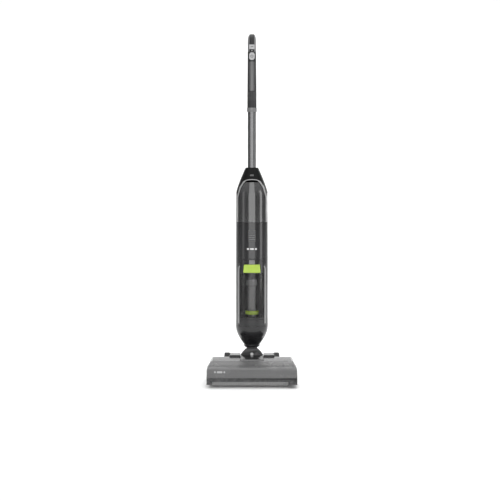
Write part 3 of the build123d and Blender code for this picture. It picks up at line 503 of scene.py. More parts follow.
def slab(name, low, high, radius=0.0, axis="Y"):
    """A block with the edges along one axis rounded."""
    a, b = {"X": (1, 2), "Y": (0, 2), "Z": (0, 1)}[axis]
    depth = "XYZ".index(axis)
    corners = [(low[a], low[b]), (high[a], low[b]), (high[a], high[b]), (low[a], high[b])]
    return prism(name, rounded(corners, radius) if radius else corners, axis, low[depth], high[depth])


def disc(name, centre, radius, axis, start, end, count=96):
    """A round bar: centre is its two other coordinates."""
    turns = [2 * math.pi * i / count for i in range(count)]
    outline = [(centre[0] + radius * math.cos(t), centre[1] + radius * math.sin(t)) for t in turns]
    return prism(name, outline, axis, start, end)


def plain(piece):
    """Turns an object's modifiers into its mesh."""
    graph = bpy.context.evaluated_depsgraph_get()
    mesh = bpy.data.meshes.new_from_object(piece.evaluated_get(graph))
    piece.modifiers.clear()
    piece.data = mesh
    return piece


def combine(piece, operation, *tools):
    """Cuts, keeps or joins, one tool after another. The tools are used up."""
    for tool in tools:
        step = piece.modifiers.new("step", "BOOLEAN")
        step.operation, step.solver, step.object = operation, "EXACT", tool
        plain(piece)
        bpy.data.objects.remove(tool)
    return piece


def cut(piece, *tools):
    return combine(piece, "DIFFERENCE", *tools)


def keep(piece, *tools):
    return combine(piece, "INTERSECT", *tools)


def join(piece, *tools):
    return combine(piece, "UNION", *tools)


def soften(piece, width, segments=2, angle=32):
    """Rounds the edges by a width in millimetres and shades the piece smooth up to its creases."""
    work = bmesh.new()
    work.from_mesh(piece.data)
    bmesh.ops.remove_doubles(work, verts=work.verts, dist=2e-5)
    bmesh.ops.dissolve_degenerate(work, edges=work.edges, dist=1e-5)
    work.to_mesh(piece.data)
    work.free()
    if width:
        bevel = piece.modifiers.new("round", "BEVEL")
        bevel.width, bevel.segments = width * MM, segments
        bevel.limit_method, bevel.angle_limit = "ANGLE", math.radians(angle)
        bevel.miter_outer = "MITER_ARC"
        plain(piece)
    piece.data.shade_smooth()
    piece.data.set_sharp_from_angle(angle=math.radians(38))
    even = piece.modifiers.new("even", "WEIGHTED_NORMAL")
    even.keep_sharp = True
    return plain(piece)


def dress(piece, body, finish, *nodes, slot=None):
    """Material, body and the CAD nodes that the piece stands for, which are hidden. The slot is not used.
    """
    piece.data.materials.clear()
    piece.data.materials.append(MATERIALS[finish])
    for face in piece.data.polygons:
        face.material_index = 0
    if body:
        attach(piece, body)
    slot = slot or (SLOTS[nodes[0]] if nodes else finish)
    if nodes:
        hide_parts(*nodes)
    return piece


def done(piece, width, body, finish, *nodes, slot=None, segments=2):
    """Softens the edges of a piece and dresses it."""
    return dress(soften(piece, width, segments), body, finish, *nodes, slot=slot)


def from_cad(node, width):
    """A copy of a CAD node with its triangles merged and its edges softened."""
    piece = bpy.data.objects.new(node + "_moulded", NODES[node].data.copy())
    bpy.context.scene.collection.objects.link(piece)
    work = bmesh.new()
    work.from_mesh(piece.data)
    bmesh.ops.remove_doubles(work, verts=work.verts, dist=1e-6)
    bmesh.ops.dissolve_limit(work, angle_limit=math.radians(1.5), verts=work.verts, edges=work.edges)
    work.to_mesh(piece.data)
    work.free()
    return soften(piece, width)


# %% [markdown]
# Geometry Nodes handle what repeats. This small builder makes a tree with named inputs, and
# run_tree() sets them by socket identifier, bakes the result to a plain mesh and drops the
# modifier. Three trees follow: copies round an upright axis, round an axle, and in a row.


# %% Geometry Nodes helpers
KINDS = {"Count": "NodeSocketInt", "Seed": "NodeSocketInt", "Material": "NodeSocketMaterial",
         "Centre": "NodeSocketVector", "Step": "NodeSocketVector"}


def new_tree(name, labels):
    """A geometry tree with a geometry input, named inputs and a geometry output."""
    tree = bpy.data.node_groups.new(name, "GeometryNodeTree")
    tree.interface.new_socket("Geometry", in_out="INPUT", socket_type="NodeSocketGeometry")
    for label in labels:
        kind = KINDS.get(label, "NodeSocketFloat")
        tree.interface.new_socket(label, in_out="INPUT", socket_type=kind)
    tree.interface.new_socket("Geometry", in_out="OUTPUT", socket_type="NodeSocketGeometry")
    return tree, tree.nodes.new("NodeGroupInput"), tree.nodes.new("NodeGroupOutput")


def run_tree(piece, tree, finish, **values):
    """Runs a tree on a piece with a finish and turns the result into a plain mesh."""
    modifier = piece.modifiers.new("nodes", "NODES")
    modifier.node_group = tree
    ids = {s.name: s.identifier for s in tree.interface.items_tree if s.in_out == "INPUT"}
    for label, value in dict(values, Material=MATERIALS[finish]).items():
        modifier[ids[label]] = value
    return plain(piece)


def close_tree(tree, into, out, spread, keep_base=False):
    """Realizes the instances, joins the base if it is kept, and sets the material."""
    real, paint = add_nodes(tree, "GeometryNodeRealizeInstances", "GeometryNodeSetMaterial")
    if keep_base:
        both = tree.nodes.new("GeometryNodeJoinGeometry")
        wire(tree, (spread, "Instances", both, 0), (into, "Geometry", both, 0),
             (both, "Geometry", real, "Geometry"))
    else:
        wire(tree, (spread, "Instances", real, "Geometry"))
    wire(tree, (real, "Geometry", paint, "Geometry"), (into, "Material", paint, "Material"),
         (paint, "Geometry", out, "Geometry"))
    return tree


def round_tree(name, axis):
    """Copies the incoming piece round an axis. A line of no length gives one point to a copy, and
    each copy is turned by its number's share of the circle."""
    tree, into, out = new_tree(name, ["Count", "Centre", "Material"])
    line, index, share, angle, turn, spread = add_nodes(
        tree, "GeometryNodeMeshLine", "GeometryNodeInputIndex", "ShaderNodeMath", "ShaderNodeMath",
        "ShaderNodeCombineXYZ", "GeometryNodeInstanceOnPoints")
    line.mode, line.count_mode = "OFFSET", "TOTAL"
    feed(line, Offset=(0, 0, 0))
    share.operation, angle.operation = "DIVIDE", "MULTIPLY"
    angle.inputs[1].default_value = 2 * math.pi
    wire(tree, (into, "Count", line, "Count"), (into, "Centre", line, "Start Location"),
         (line, "Mesh", spread, "Points"), (into, "Geometry", spread, "Instance"),
         (index, "Index", share, 0), (into, "Count", share, 1), (share, "Value", angle, 0),
         (angle, "Value", turn, axis), (turn, "Vector", spread, "Rotation"))
    return close_tree(tree, into, out, spread)


def row_tree():
    """A row of copies of the incoming piece, one step apart."""
    tree, into, out = new_tree("row_of_copies", ["Count", "Step", "Material"])
    line, spread = add_nodes(tree, "GeometryNodeMeshLine", "GeometryNodeInstanceOnPoints")
    line.mode, line.count_mode = "OFFSET", "TOTAL"
    wire(tree, (into, "Count", line, "Count"), (into, "Step", line, "Offset"),
         (line, "Mesh", spread, "Points"), (into, "Geometry", spread, "Instance"))
    return close_tree(tree, into, out, spread)


ROUND, AXLE, ROW = round_tree("round_the_axis", "Z"), round_tree("round_the_axle", "X"), row_tree()

# %% [markdown]
# The upright's shell is one long form: a bowl below, nearly straight sides, and shoulders that
# close round the tube. On the real machine the shell, the front panel and both tanks are separate
# mouldings cut from that same form, which is why their surfaces run into each other. One function
# gives the outline at any height, and every piece of the body starts from it.

# %% The body's form
BOWL_HIGH = shell_low.z - 1
FORM_LOW, FORM_STRAIGHT, FORM_SHOULDER, FORM_TOP = 115.0, 179.0, 600.0, 680.0
SEAM_LOW, SEAM_HIGH = 395.0, 508.5
WALL, AHEAD = 2.6, -80.0        # AHEAD is a depth well in front of the body, where cuts begin


def form_section(z, grow=0.0):
    """Half width, front, rear and corner radius of the body at height z."""
    if z <= FORM_STRAIGHT:
        rise = math.sin(math.pi / 2 * max(0.0, z - FORM_LOW) / (FORM_STRAIGHT - FORM_LOW))
        half, front, rear = 26 + 25.5 * rise, 2 - 44 * rise, 52 + 23 * rise
    elif z <= FORM_SHOULDER:
        slim = (z - FORM_STRAIGHT) / (FORM_SHOULDER - FORM_STRAIGHT)
        half, front, rear = 51.5 - 1.5 * slim, -42 + 3 * slim, 75 - 2 * slim
    else:
        fall = (z - FORM_SHOULDER) / (FORM_TOP - FORM_SHOULDER)
        half, front, rear = 50 - 30 * fall ** 1.25, -39 + 47 * fall ** 1.1, 73 - 27 * fall ** 1.3
    corner = min(46.0, 0.88 * half)
    return half + grow, front - grow, rear + grow, corner + grow


def box_ring(half, front, rear, corner, z, steps=14):
    """A rounded rectangle seen from above, as one ring of a loft."""
    corner = min(corner, half - 0.01, (rear - front) / 2 - 0.01)
    points = []
    for cx, cy, start in ((half - corner, rear - corner, 0), (corner - half, rear - corner, 90),
                          (corner - half, front + corner, 180), (half - corner, front + corner, 270)):
        for k in range(steps + 1):
            turn = math.radians(start + 90 * k / steps)
            points.append((cx + corner * math.cos(turn), cy + corner * math.sin(turn), z))
    return points


def body_form(name, grow, low, high):
    """The body's form between two heights, as a closed solid."""
    levels = [115 + 5.8 * i for i in range(12)] + [179 + 14.03 * i for i in range(31)]
    levels += [600 + 6.67 * i for i in range(1, 12)] + [680]
    levels = [low] + [z for z in levels if low + 0.5 < z < high - 0.5] + [high]
    return loft(name, [box_ring(*form_section(z, grow), z) for z in levels])


def room(low, high, wall=WALL):
    """The space inside a moulding of the body, to be cut out of it."""
    return body_form("room", -wall, low, high)


def from_front(outline, depth):
    """An outline drawn from in front of the body back to a depth."""
    return prism("from_front", outline, "Y", AHEAD, depth)


def clean_outline(grow, bottom):
    """The clean tank seen from the front, grown by a distance."""
    half, top = 42 + grow, 634 + grow
    right = [(half, bottom), (half, 588), (half - 8, 616 + 0.4 * grow), (23 + 0.6 * grow, top)]
    return rounded(right + [(-x, z) for x, z in reversed(right)], [0, 30, 9, 9, 9, 9, 30, 0])


def arch_outline(half, bottom, top, corner):
    """Straight sides and a rounded top."""
    points = [(half, bottom), (half, top), (-half, top), (-half, bottom)]
    return rounded(points, [0, corner, corner, 0], 10)


def finger_arch(grow):
    """The rim's arch over the finger gap, or with 0 the gap itself."""
    half, peak = 21 + 1.4 * grow, 6.6 + 0.9 * grow
    turns = [math.pi * k / 24 for k in range(25)]
    curve = [(half * math.cos(t), 634.0 + peak * math.sin(t) ** 0.8) for t in turns]
    return curve + [(-half, 633.0), (half, 633.0)]


print("body at mid height", [round(v, 1) for v in form_section(400)[:3]])

# %% [markdown]
# The rear shell is the dark clamshell that carries everything. It is the form, hollowed, with the
# front opened where the tanks and the panel sit. Cutting with the same outlines as the tanks, a
# hair larger, leaves the fine even shadow lines that a good moulding shows.

# %% Rear shell and chassis
DIRTY_LOW, DIRTY_TOP, DIRTY_HALF = 202.4, 393.6, 37.0
DIRTY_BACK, CLEAN_BACK = span("dirty_tank_bin")[1].y, span("clean_tank")[1].y
RAIL_HALF, RAIL_LOW, RAIL_TOP = 46.0, 186.0, 384.0
SHADOW_GAP, RIM_TOP = 0.4, 650
SCREW_PLACES = [(x, z) for z in (206, 352, 560) for x in (-20, 20)]


def rail_cutter(name, extra=0.0):
    rail = prism(name, arch_outline(RAIL_HALF + extra, RAIL_LOW - extra, RAIL_TOP + extra, 20), "Y",
                 AHEAD, -6 + extra)
    return cut(rail, slab("gap", (-DIRTY_HALF - 0.4, -90, 100), (DIRTY_HALF + 0.4, 0, 450)))


rear = body_form("rear_shell_moulded", 0, shell_low.z, FORM_SHOULDER)
bay = arch_outline(DIRTY_HALF + SHADOW_GAP, DIRTY_LOW - SHADOW_GAP, DIRTY_TOP + SHADOW_GAP, 22)
cut(rear, room(shell_low.z - 1, FORM_SHOULDER + 1),
    slab("panel", (-80, AHEAD, SEAM_LOW), (80, 0, SEAM_HIGH)),
    from_front(clean_outline(6, SEAM_HIGH), CLEAN_BACK + SHADOW_GAP),
    from_front(bay, DIRTY_BACK + SHADOW_GAP), rail_cutter("rails"),
    slab("grille", (-25, 50, 424), (25, 90, 486), 4))
cut(rear, *[disc("boss", place, 3.3, "Y", 40, 90, 24) for place in SCREW_PLACES])
done(rear, 0.35, "upright", "charcoal_gloss", "rear_shell")
print("rear shell", len(rear.data.polygons), "faces")

# %% [markdown]
# The front panel covers the battery and motor. It is glossy, set off by a fine seam above and
# below, with a small dark window for the status lights.

# %% Front panel and display
panel = body_form("front_panel_moulded", 0, SEAM_LOW + 0.2, SEAM_HIGH - 0.4)
cut(panel, room(SEAM_LOW - 1, SEAM_HIGH + 1), slab("back", (-80, -0.3, 380), (80, 90, 520)),
    slab("window", (-13, AHEAD, 449), (13, 0, 483), 4))
done(panel, 0.5, "upright", "panel_gloss", "front_panel", slot="charcoal_gloss")

lens = body_form("display_lens_clear", 0.1, 440, 490)
cut(lens, room(430, 500, WALL - 0.8))
keep(lens, slab("window", (-12.8, AHEAD, 449.2), (12.8, 0, 482.8), 3.9))
done(lens, 0.3, "upright", "panel_gloss", "display_lens", slot="display_black")

# %% [markdown]
# Two dark rails run down beside the lower tank and meet under it, standing just proud of the
# shell. Each carries a thin pale strip down its side, a painted highlight for the light along its edge.

# %% Side rails
rails = body_form("side_rails_moulded", 0.55, 182, 390)
cut(rails, room(181, 391))
keep(rails, rail_cutter("rails", -0.05))
done(rails, 0.5, "upright", "rail_grey", "side_rails")

# Painted highlight: a thin pale strip along each rail's edge, in the light_trim colour.
highlight_strip = body_form("side_rails_painted_highlight", 0.85, 183, 389)
cut(highlight_strip, room(182, 390, 0.4))
line = from_front(arch_outline(DIRTY_HALF + 6.4, RAIL_LOW + 3, RAIL_TOP - 3, 20), -12)
hole = arch_outline(DIRTY_HALF + 3.2, RAIL_LOW - 1, RAIL_TOP - 6.2, 17)
cut(line, prism("hole", hole, "Y", AHEAD - 1, 0), slab("top", (-60, AHEAD - 1, 371), (60, 0, 400)))
keep(highlight_strip, line)
done(highlight_strip, 0.2, "upright", "light_trim")

# %% [markdown]
# A rim frames the clean tank like a picture frame, with a thin pale strip along it as a painted
# highlight. Over the tank it arches up to leave a finger gap, which reads as a dark lens between the
# tank and the shoulder.

# %% Tank surround and shoulder
rim = body_form("tank_surround_moulded", 0.5, SEAM_HIGH + 0.1, RIM_TOP)
cut(rim, room(SEAM_HIGH - 1, RIM_TOP + 1))
keep(rim, join(from_front(clean_outline(5.9, SEAM_HIGH), CLEAN_BACK),
               from_front(finger_arch(4), CLEAN_BACK)))
cut(rim, from_front(clean_outline(SHADOW_GAP, SEAM_HIGH - 1), 20), from_front(finger_arch(0), 20))
done(rim, 0.6, "upright", "rail_grey", "tank_surround")

# Painted highlight: a thin pale strip along the rim, round the tank and over the finger gap.
highlight_strip = body_form("tank_surround_painted_highlight", 0.85, SEAM_HIGH + 1, RIM_TOP)
line = join(from_front(clean_outline(4.8, SEAM_HIGH), CLEAN_BACK - 2),
            from_front(finger_arch(3.2), CLEAN_BACK - 2))
cut(highlight_strip, room(SEAM_HIGH, RIM_TOP + 1, 0.4))
keep(highlight_strip, line)
cut(highlight_strip, from_front(clean_outline(1.2, SEAM_HIGH - 1), 20), from_front(finger_arch(0.8), 20))
done(highlight_strip, 0.25, "upright", "light_trim")

cap = body_form("shoulder_cap_moulded", 0, FORM_SHOULDER, FORM_TOP)
tube_hole = [(x, y) for x, y, _ in box_ring(13.05, TUBE.y - 15.05, TUBE.y + 15.05, 9, 0, 6)]
cut(cap, room(FORM_SHOULDER - 1, FORM_TOP - 8),
    from_front(clean_outline(6, 590), CLEAN_BACK + SHADOW_GAP),
    from_front(finger_arch(4.1), CLEAN_BACK + SHADOW_GAP),
    slab("button", (-6.4, -40, 652.6), (6.4, 2, 658.9), 1.2), prism("tube", tube_hole, "Z", 655, 690))
done(cap, 1.0, "upright", "shoulder_black", "shoulder_cap", segments=3)

# %% [markdown]
# The bowl closes the shell below and carries the tongue that swivels in the yoke. A slim dark
# collar is joined to it where it meets the neck. The hose passes through a hole behind the pin.

# %% Neck bowl
bowl = body_form("neck_bowl_moulded", 0, FORM_LOW, BOWL_HIGH + 0.7)
cut(bowl, room(FORM_LOW + 8, BOWL_HIGH + 3))
half, front, back, corner = form_section(FORM_LOW)
steps = [(105.6, 5.0), (108, 1.6), (111, 0.3), (115.1, 0.0)]
collar = loft("collar", [box_ring(half - s, front + s, back - s, corner - s, z) for z, s in steps])
PIN_HEIGHT, TONGUE_HALF, TONGUE_FRONT, TONGUE_REAR = 84.0, 16.5, 14.5, 39.5
tongue = slab("tongue", (-TONGUE_HALF, TONGUE_FRONT, PIN_HEIGHT), (TONGUE_HALF, TONGUE_REAR, 112))
join(tongue, disc("knuckle", (0, PIN_HEIGHT), TONGUE_HALF, "Y", TONGUE_FRONT, TONGUE_REAR, 64))
join(bowl, collar, tongue)
hose_low, hose_high = span("neck_hose")
HOSE = (0.0, (hose_low.y + hose_high.y) / 2)
cut(bowl, disc("pin", (0, PIN_HEIGHT), 5.1, "Y", 0, 60, 48),
    disc("hose", HOSE, 8.4, "Z", 90, hose_high.z, 48))
done(bowl, 0.5, "upright", "charcoal_gloss", "neck_bowl")

# %% [markdown]
# Turned and round parts share one helper: a closed outline of length and radius, spun about an
# axis. It serves the roller, the tyres, the standpipe, the float and the hose alike.


# %% Spun parts
def spun(name, outline, axis, centre, count=96):
    """A ring made by turning a closed outline of (along, radius) points about an axis."""
    verts, faces, size = [], [], len(outline)
    for k in range(count):
        turn = 2 * math.pi * k / count
        for along, radius in outline:
            a, b = centre[0] + radius * math.cos(turn), centre[1] + radius * math.sin(turn)
            verts.append({"X": (along, a, b), "Y": (a, along, b), "Z": (a, b, along)}[axis])
        here, ahead = k * size, (k + 1) % count * size
        faces += [(here + i, here + (i + 1) % size, ahead + (i + 1) % size, ahead + i)
                  for i in range(size)]
    return build(name, verts, faces)


def band_outline(start, end, inner, outer, near=0.0, far=0.0):
    """A ring between two radii, with its outer corners at the start and at the end rounded."""
    return rounded([(start, inner), (start, outer), (end, outer), (end, inner)], [0, near, far, 0])


def stepped(inner, steps):
    """(start, end, radius) steps over an inner radius, as a closed outline."""
    outline = [(steps[0][0], inner)]
    for start, end, radius in steps:
        outline += [(start, radius), (end, radius)]
    return outline + [(steps[-1][1], inner)]


# %% [markdown]
# The clean tank is smoked clear plastic. Its wall has real thickness, so its edges look denser
# than its face, and the dark chassis behind it shows faintly. Water marks are left off: the tank is
# shown empty, as it is sold.

# %% Clean water tank
def tank_solid(name, inset, low):
    solid = body_form(name, -0.3 - inset, low, RIM_TOP)
    return keep(solid, from_front(clean_outline(-inset, low - 1), CLEAN_BACK - inset))


clean = tank_solid("clean_tank_smoked", 0, SEAM_HIGH + 0.6)
cut(clean, tank_solid("room", 2.2, SEAM_HIGH + 2.8), disc("outlet", (0, 522), 5, "Y", 5, 20, 32))
done(clean, 0.9, "clean_tank", "tank_smoke", "clean_tank", segments=3)

# %% [markdown]
# The dirty tank is clearer, because its owner has to see when it is full. Inside stands the grey
# pipe that the dirty water comes up, with a bright float ring round its foot, a ringed cage at its
# head and a lime block on the lid. These colours are the machine's only accent.

# %% Dirty water tank
def dirty_solid(name, inset, low, high, top):
    solid = body_form(name, -0.3 - inset, low, high)
    front = arch_outline(DIRTY_HALF - inset, DIRTY_LOW - 2, top - inset, 22 - inset)
    return keep(solid, from_front(front, DIRTY_BACK - inset))


BIN_LOW, BIN_HIGH = span("dirty_tank_bin")[0].z, span("dirty_tank_bin")[1].z
PIPE = (0.0, middle("standpipe").y)
bin_piece = dirty_solid("dirty_tank_bin_clear", 0, BIN_LOW, BIN_HIGH, DIRTY_TOP)
cut(bin_piece, dirty_solid("room", 2.2, BIN_LOW - 1, BIN_HIGH + 1, DIRTY_TOP))
done(bin_piece, 0.3, "dirty_tank", "tank_clear", "dirty_tank_bin")

base = dirty_solid("dirty_tank_base_moulded", 0, DIRTY_LOW, DIRTY_LOW + 6, DIRTY_TOP)
cut(base, disc("pipe", PIPE, 13.0, "Z", 190, 220, 64))
done(base, 0.8, "dirty_tank", "charcoal_gloss", "dirty_tank_base", segments=3)

lid = dirty_solid("dirty_tank_lid_moulded", 0, BIN_HIGH + 0.1, DIRTY_TOP, DIRTY_TOP)
cut(lid, dirty_solid("room", 2.4, BIN_HIGH + 3, DIRTY_TOP - 3, DIRTY_TOP - 1),
    disc("pipe", PIPE, 15.2, "Z", 340, 356, 64),
    slab("block", (-27.2, -60, 350.6), (27.2, -31, 376.8), 2.6),
    slab("latch", (-9.4, -60, 376.7), (9.4, -31, 393), 2))
done(lid, 0.8, "dirty_tank", "charcoal_gloss", "dirty_tank_lid", segments=3)

PIPE_STEPS = [
    (DIRTY_LOW, 231.6, 13), (231.6, 232.6, 13.6), (232.6, 306.8, 13), (306.8, 308, 16.6),
    (308, 312, 17.6), (312, 313, 16.8), (313, 322, 17.6), (322, 323, 16.8), (323, 327, 17.6),
    (327, 347.6, 14.6)]
pipe = spun("standpipe_ringed", stepped(11, PIPE_STEPS), "Z", PIPE)
done(pipe, 0.3, "dirty_tank", "pipe_grey", "standpipe")

# %% [markdown]
# Four rings and a circle of bars make the cage at the pipe's head, over a dark core, with a thin
# dark ring under the collar as painted shadow. The bars repeat round the pipe, so the round-the-axis
# tree places them.

# %% Cage bars by Geometry Nodes
bar = slab("standpipe_cage_bars", (14, -0.7, 328), (21.2, 0.7, 346.6), 0.3, "Z")
run_tree(bar, ROUND, "cage_grey", Count=16, Centre=(0, PIPE[1] * MM, 0))
dress(bar, "dirty_tank", "cage_grey", slot="grey_plastic")
# Painted shadow: a dark ring stands for the shade under the collar.
shadow_ring = spun("standpipe_painted_shadow", band_outline(306.9, 308.6, 14, 17.2), "Z", PIPE)
done(shadow_ring, 0.3, "dirty_tank", "rubber_black")
core = spun("standpipe_cage_core", band_outline(327.4, 347.2, 13.6, 15.4), "Z", PIPE)
done(core, 0.2, "dirty_tank", "cage_grey", slot="grey_plastic")
for i in range(4):
    low = 328.6 + 5.2 * i
    ring = spun(f"standpipe_ring_{i + 1}", band_outline(low, low + 2.4, 14, 22), "Z", PIPE)
    done(ring, 0.4, "dirty_tank", "cage_grey", slot="grey_plastic")
print("cage bars", len(bar.data.polygons), "faces")

# %% [markdown]
# The float ring and the lid block are the lime accents. The ring's lower part is lime and its neck
# is grey. The block is scored with fine grip lines, and the latch above it is pale grey with a
# shallow thumb dish.

# %% Lime pieces and latch
low, high = span("float_ring")
brim = low.z + 11.5
ring = spun("float_ring_lime", band_outline(low.z, brim, 13.5, 22, 2.5, 2.5), "Z", PIPE)
done(ring, 0, "float_ring", "lime_plastic", "float_ring")
neck = spun("float_ring_neck", band_outline(brim - 0.5, high.z, 13.5, 15.5, 0, 0.8), "Z", PIPE)
done(neck, 0, "float_ring", "pipe_grey", slot="lime_plastic")

low, high = span("lid_block")
front = rounded([(-27, low.z), (27, low.z), (25, high.z), (-25, high.z)], 3)
block = prism("lid_block_lime", front, "Y", low.y, high.y)
for i in range(5):
    z = low.z + 4.6 + 4.0 * i
    cut(block, slab("groove", (-20, low.y - 1, z), (20, low.y + 0.5, z + 0.8), 0.35))
done(block, 0.7, "dirty_tank", "lime_plastic", "lid_block", segments=3)

low, high = span("tank_latch")
latch = slab("tank_latch_moulded", low, high, 2.6)
dish = [(low.y - 30, 0), (low.y - 30, 8), (low.y + 1.2, 5.4), (low.y + 1.6, 0)]
cut(latch, spun("dish", dish, "Y", (0, (low.z + high.z) / 2), 48))
done(latch, 0.7, "tank_latch", "grey_plastic", "tank_latch", segments=3)

# %% [markdown]
# A pleated filter sits in the lid. Paper folds are sharp at the edge and soft in the valley, so a
# zigzag drawn through the depth of the cartridge gives the right look with few faces.

# %% Filter
low, high = span("filter_cartridge")
start, end, FOLDS = low.x + 3, high.x - 3, 48
folds = [(start + (end - start) * i / FOLDS, high.z - (0.6 if i % 2 else 6)) for i in range(FOLDS + 1)]
pleats = prism("filter_pleats", [(start, low.z + 2), (end, low.z + 2)] + folds[::-1], "Y",
               low.y + 2.4, high.y - 2.4)
dress(pleats, "dirty_tank", "filter_media")
tray = slab("filter_frame", low, high, 2, "Z")
inside = slab("inside", (low.x + 2.4, low.y + 2, low.z + 1.6), (high.x - 2.4, high.y - 2, high.z + 1),
              1, "Z")
cut(tray, inside, disc("pipe", PIPE, 16, "Z", 340, 356, 48))
done(tray, 0.4, "dirty_tank", "charcoal_satin", "filter_cartridge", slot="filter_media")

# %% [markdown]
# The brush cover is one smoked moulding that lifts straight off. Its skirt drops plumb so that it
# clears the head, an arc carries it over the roller, and its top corners are slanted. Below it is a
# darker bumper strip with a locating tab at each end.

# %% Brush cover
COVER_HALF, COVER_WALL, COVER_REAR = 140.0, 2.5, -52.0
BUMPER_TOP, BUMPER_LOW, TAB_LOW = 32.0, 20.0, 11.0
ARC_END = math.radians(80)        # where the arc over the roller turns into the straight slope


def cover_side(inset, low, rear):
    """The cover's filled side outline as (y, z) points."""
    radius = COVER_R - inset
    arc = [(ROLLER.y - radius * math.cos(t), ROLLER.z + radius * math.sin(t))
           for t in [ARC_END * k / 40 for k in range(41)]]
    top = arc[-1][1] + (rear - arc[-1][0]) / math.tan(ARC_END)
    return [(ROLLER.y - radius, low)] + arc + [(rear, top), (rear, low)]


def cover_front(half, lower, edge, top):
    """The cover's outline seen from the front, with slanted top corners."""
    right = [(half, -20), (half, lower), (edge, top)]
    return rounded(right + [(-x, z) for x, z in reversed(right)], [0, 7, 7, 7, 7, 0])


def cover_shell(name):
    inner_half = COVER_HALF - COVER_WALL
    shell = prism(name, cover_side(0, TAB_LOW, COVER_REAR), "X", -COVER_HALF, COVER_HALF)
    keep(shell, prism("front", cover_front(COVER_HALF, 58, 127, 76), "Y", -130, 0))
    inside = prism("inside", cover_side(COVER_WALL, TAB_LOW - 5, COVER_REAR + 20), "X",
                   -inner_half, inner_half)
    keep(inside, prism("front", cover_front(inner_half, 57, 126, 73.4), "Y", -130, 0))
    cut(shell, inside, disc("arch", (ROLLER.y, ROLLER.z), 32, "X", -150, -130),
        slab("arch_foot", (-150, ROLLER.y - 32, -10), (-130, ROLLER.y + 32, ROLLER.z)))
    return shell


window = keep(cover_shell("brush_cover_smoked"),
              slab("upper", (-150, -130, BUMPER_TOP + 0.1), (150, 0, 90)))
done(window, 0.5, "brush_cover", "cover_smoke", "brush_cover_window")
bumper = keep(cover_shell("cover_bumper_moulded"), slab("lower", (-150, -130, 0), (150, 0, BUMPER_TOP)))
cut(bumper, slab("between", (-123, -130, 0), (112, 0, BUMPER_LOW)),
    slab("behind", (-150, -60, 0), (150, 0, BUMPER_LOW)))
done(bumper, 0.6, "brush_cover", "bumper_grey", "cover_bumper", segments=3)
print("cover", len(window.data.polygons), "bumper", len(bumper.data.polygons), "faces")

# %% [markdown]
# The head's housings, the yoke and the inner parts keep their CAD shapes, since those are right.
# A CAD edge is perfectly sharp, though, and a sharp edge never catches a light. Each one gets a
# copy with a small round, wider on the big mouldings and finer on metal.

# %% Rounded copies of the CAD shapes
ROUNDS = {
    "head_upper_housing": 0.7, "head_lower_housing": 0.5, "neck_fairing": 1.2, "drive_side_cover": 0.8,
    "wiper_bar": 0.3, "squeegee_blade": 0.3, "suction_inlet_duct": 0.4, "roller_end_cap": 0.5,
    "neck_yoke": 0.8, "neck_pins": 0.4, "wheel_axles": 0.5, "drive_hub": 0.3, "motor_pulley": 0.2,
    "inner_chassis": 0.2, "battery_pack": 0.8, "control_board": 0.15, "suction_motor": 0.4,
    "water_pump": 0.5, "brush_motor": 0.3, "clean_tank_valve": 0.3, "tank_button": 0.3, "impeller": 0.15,
}
FINISHES = {"tank_button": "rail_grey"}
for node, width in ROUNDS.items():
    copy = from_cad(node, width)
    dress(copy, NODES[node]["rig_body"], FINISHES.get(node, SLOTS[node]), node)
print(len(ROUNDS), "rounded copies")

# %% [markdown]
# The roller is a plastic core in a sleeve of short microfibre pile. The pile stands on a slightly
# thinner sleeve: a Geometry Nodes tree scatters small tufts over it, each leaning a little its own
# way, so the outline is soft and the surface catches light in grains.


# %% Pile by Geometry Nodes
def pile_tree():
    """Scatters small cones over a surface, leaning at random."""
    tree, into, out = new_tree("microfibre_pile",
                               ["Density", "Height", "Width", "Lean", "Seed", "Material"])
    points, cone, spread, scale, lean, turn, negative, low, high = add_nodes(
        tree, "GeometryNodeDistributePointsOnFaces", "GeometryNodeMeshCone",
        "GeometryNodeInstanceOnPoints", "FunctionNodeRandomValue", "FunctionNodeRandomValue",
        "FunctionNodeRotateEuler", "ShaderNodeMath", "ShaderNodeCombineXYZ", "ShaderNodeCombineXYZ")
    feed(cone, Vertices=4)
    cone.fill_type = "NGON"
    scale.data_type, lean.data_type = "FLOAT", "FLOAT_VECTOR"
    scale.inputs[2].default_value, scale.inputs[3].default_value = 0.65, 1.0
    negative.operation = "MULTIPLY"
    negative.inputs[1].default_value = -1.0
    turn.space = "LOCAL"
    wire(tree, (into, "Geometry", points, "Mesh"), (into, "Density", points, "Density"),
         (into, "Seed", points, "Seed"), (into, "Height", cone, "Depth"),
         (into, "Width", cone, "Radius Bottom"), (into, "Lean", negative, 0),
         (low, "Vector", lean, 0), (high, "Vector", lean, 1),
         (points, "Rotation", turn, "Rotation"), (lean, 0, turn, "Rotate By"),
         (points, "Points", spread, "Points"), (cone, "Mesh", spread, "Instance"),
         (turn, "Rotation", spread, "Rotation"), (scale, 1, spread, "Scale"))
    for axis in "XYZ":
        wire(tree, (negative, "Value", low, axis), (into, "Lean", high, axis))
    return close_tree(tree, into, out, spread, keep_base=True)


AXIS = (ROLLER.y, ROLLER.z)
left, right = roller_low.x, roller_high.x
skin = ROLLER_R - 1.0
outline = band_outline(left + 0.8, right - 0.8, 22, skin, 2.5, 2.5)
sleeve = spun("roller_sleeve_pile", outline, "X", AXIS, 120)
sleeve.data.shade_smooth()
run_tree(sleeve, pile_tree(), "microfibre", Density=430000.0, Height=1.05 * MM, Width=0.55 * MM,
         Lean=0.35, Seed=4)
dress(sleeve, "roller", "microfibre", "roller_sleeve")
core = from_cad("roller_core", 0.4)
dress(core, "roller", SLOTS["roller_core"], "roller_core")
print("roller pile", len(sleeve.data.polygons), "faces")

# %% [markdown]
# Each wheel is a grey hub in a soft tyre. The tyre is spun from a rounded outline, and its tread is
# a ring of shallow lugs placed by the same round-the-axis idea, this time about the axle.

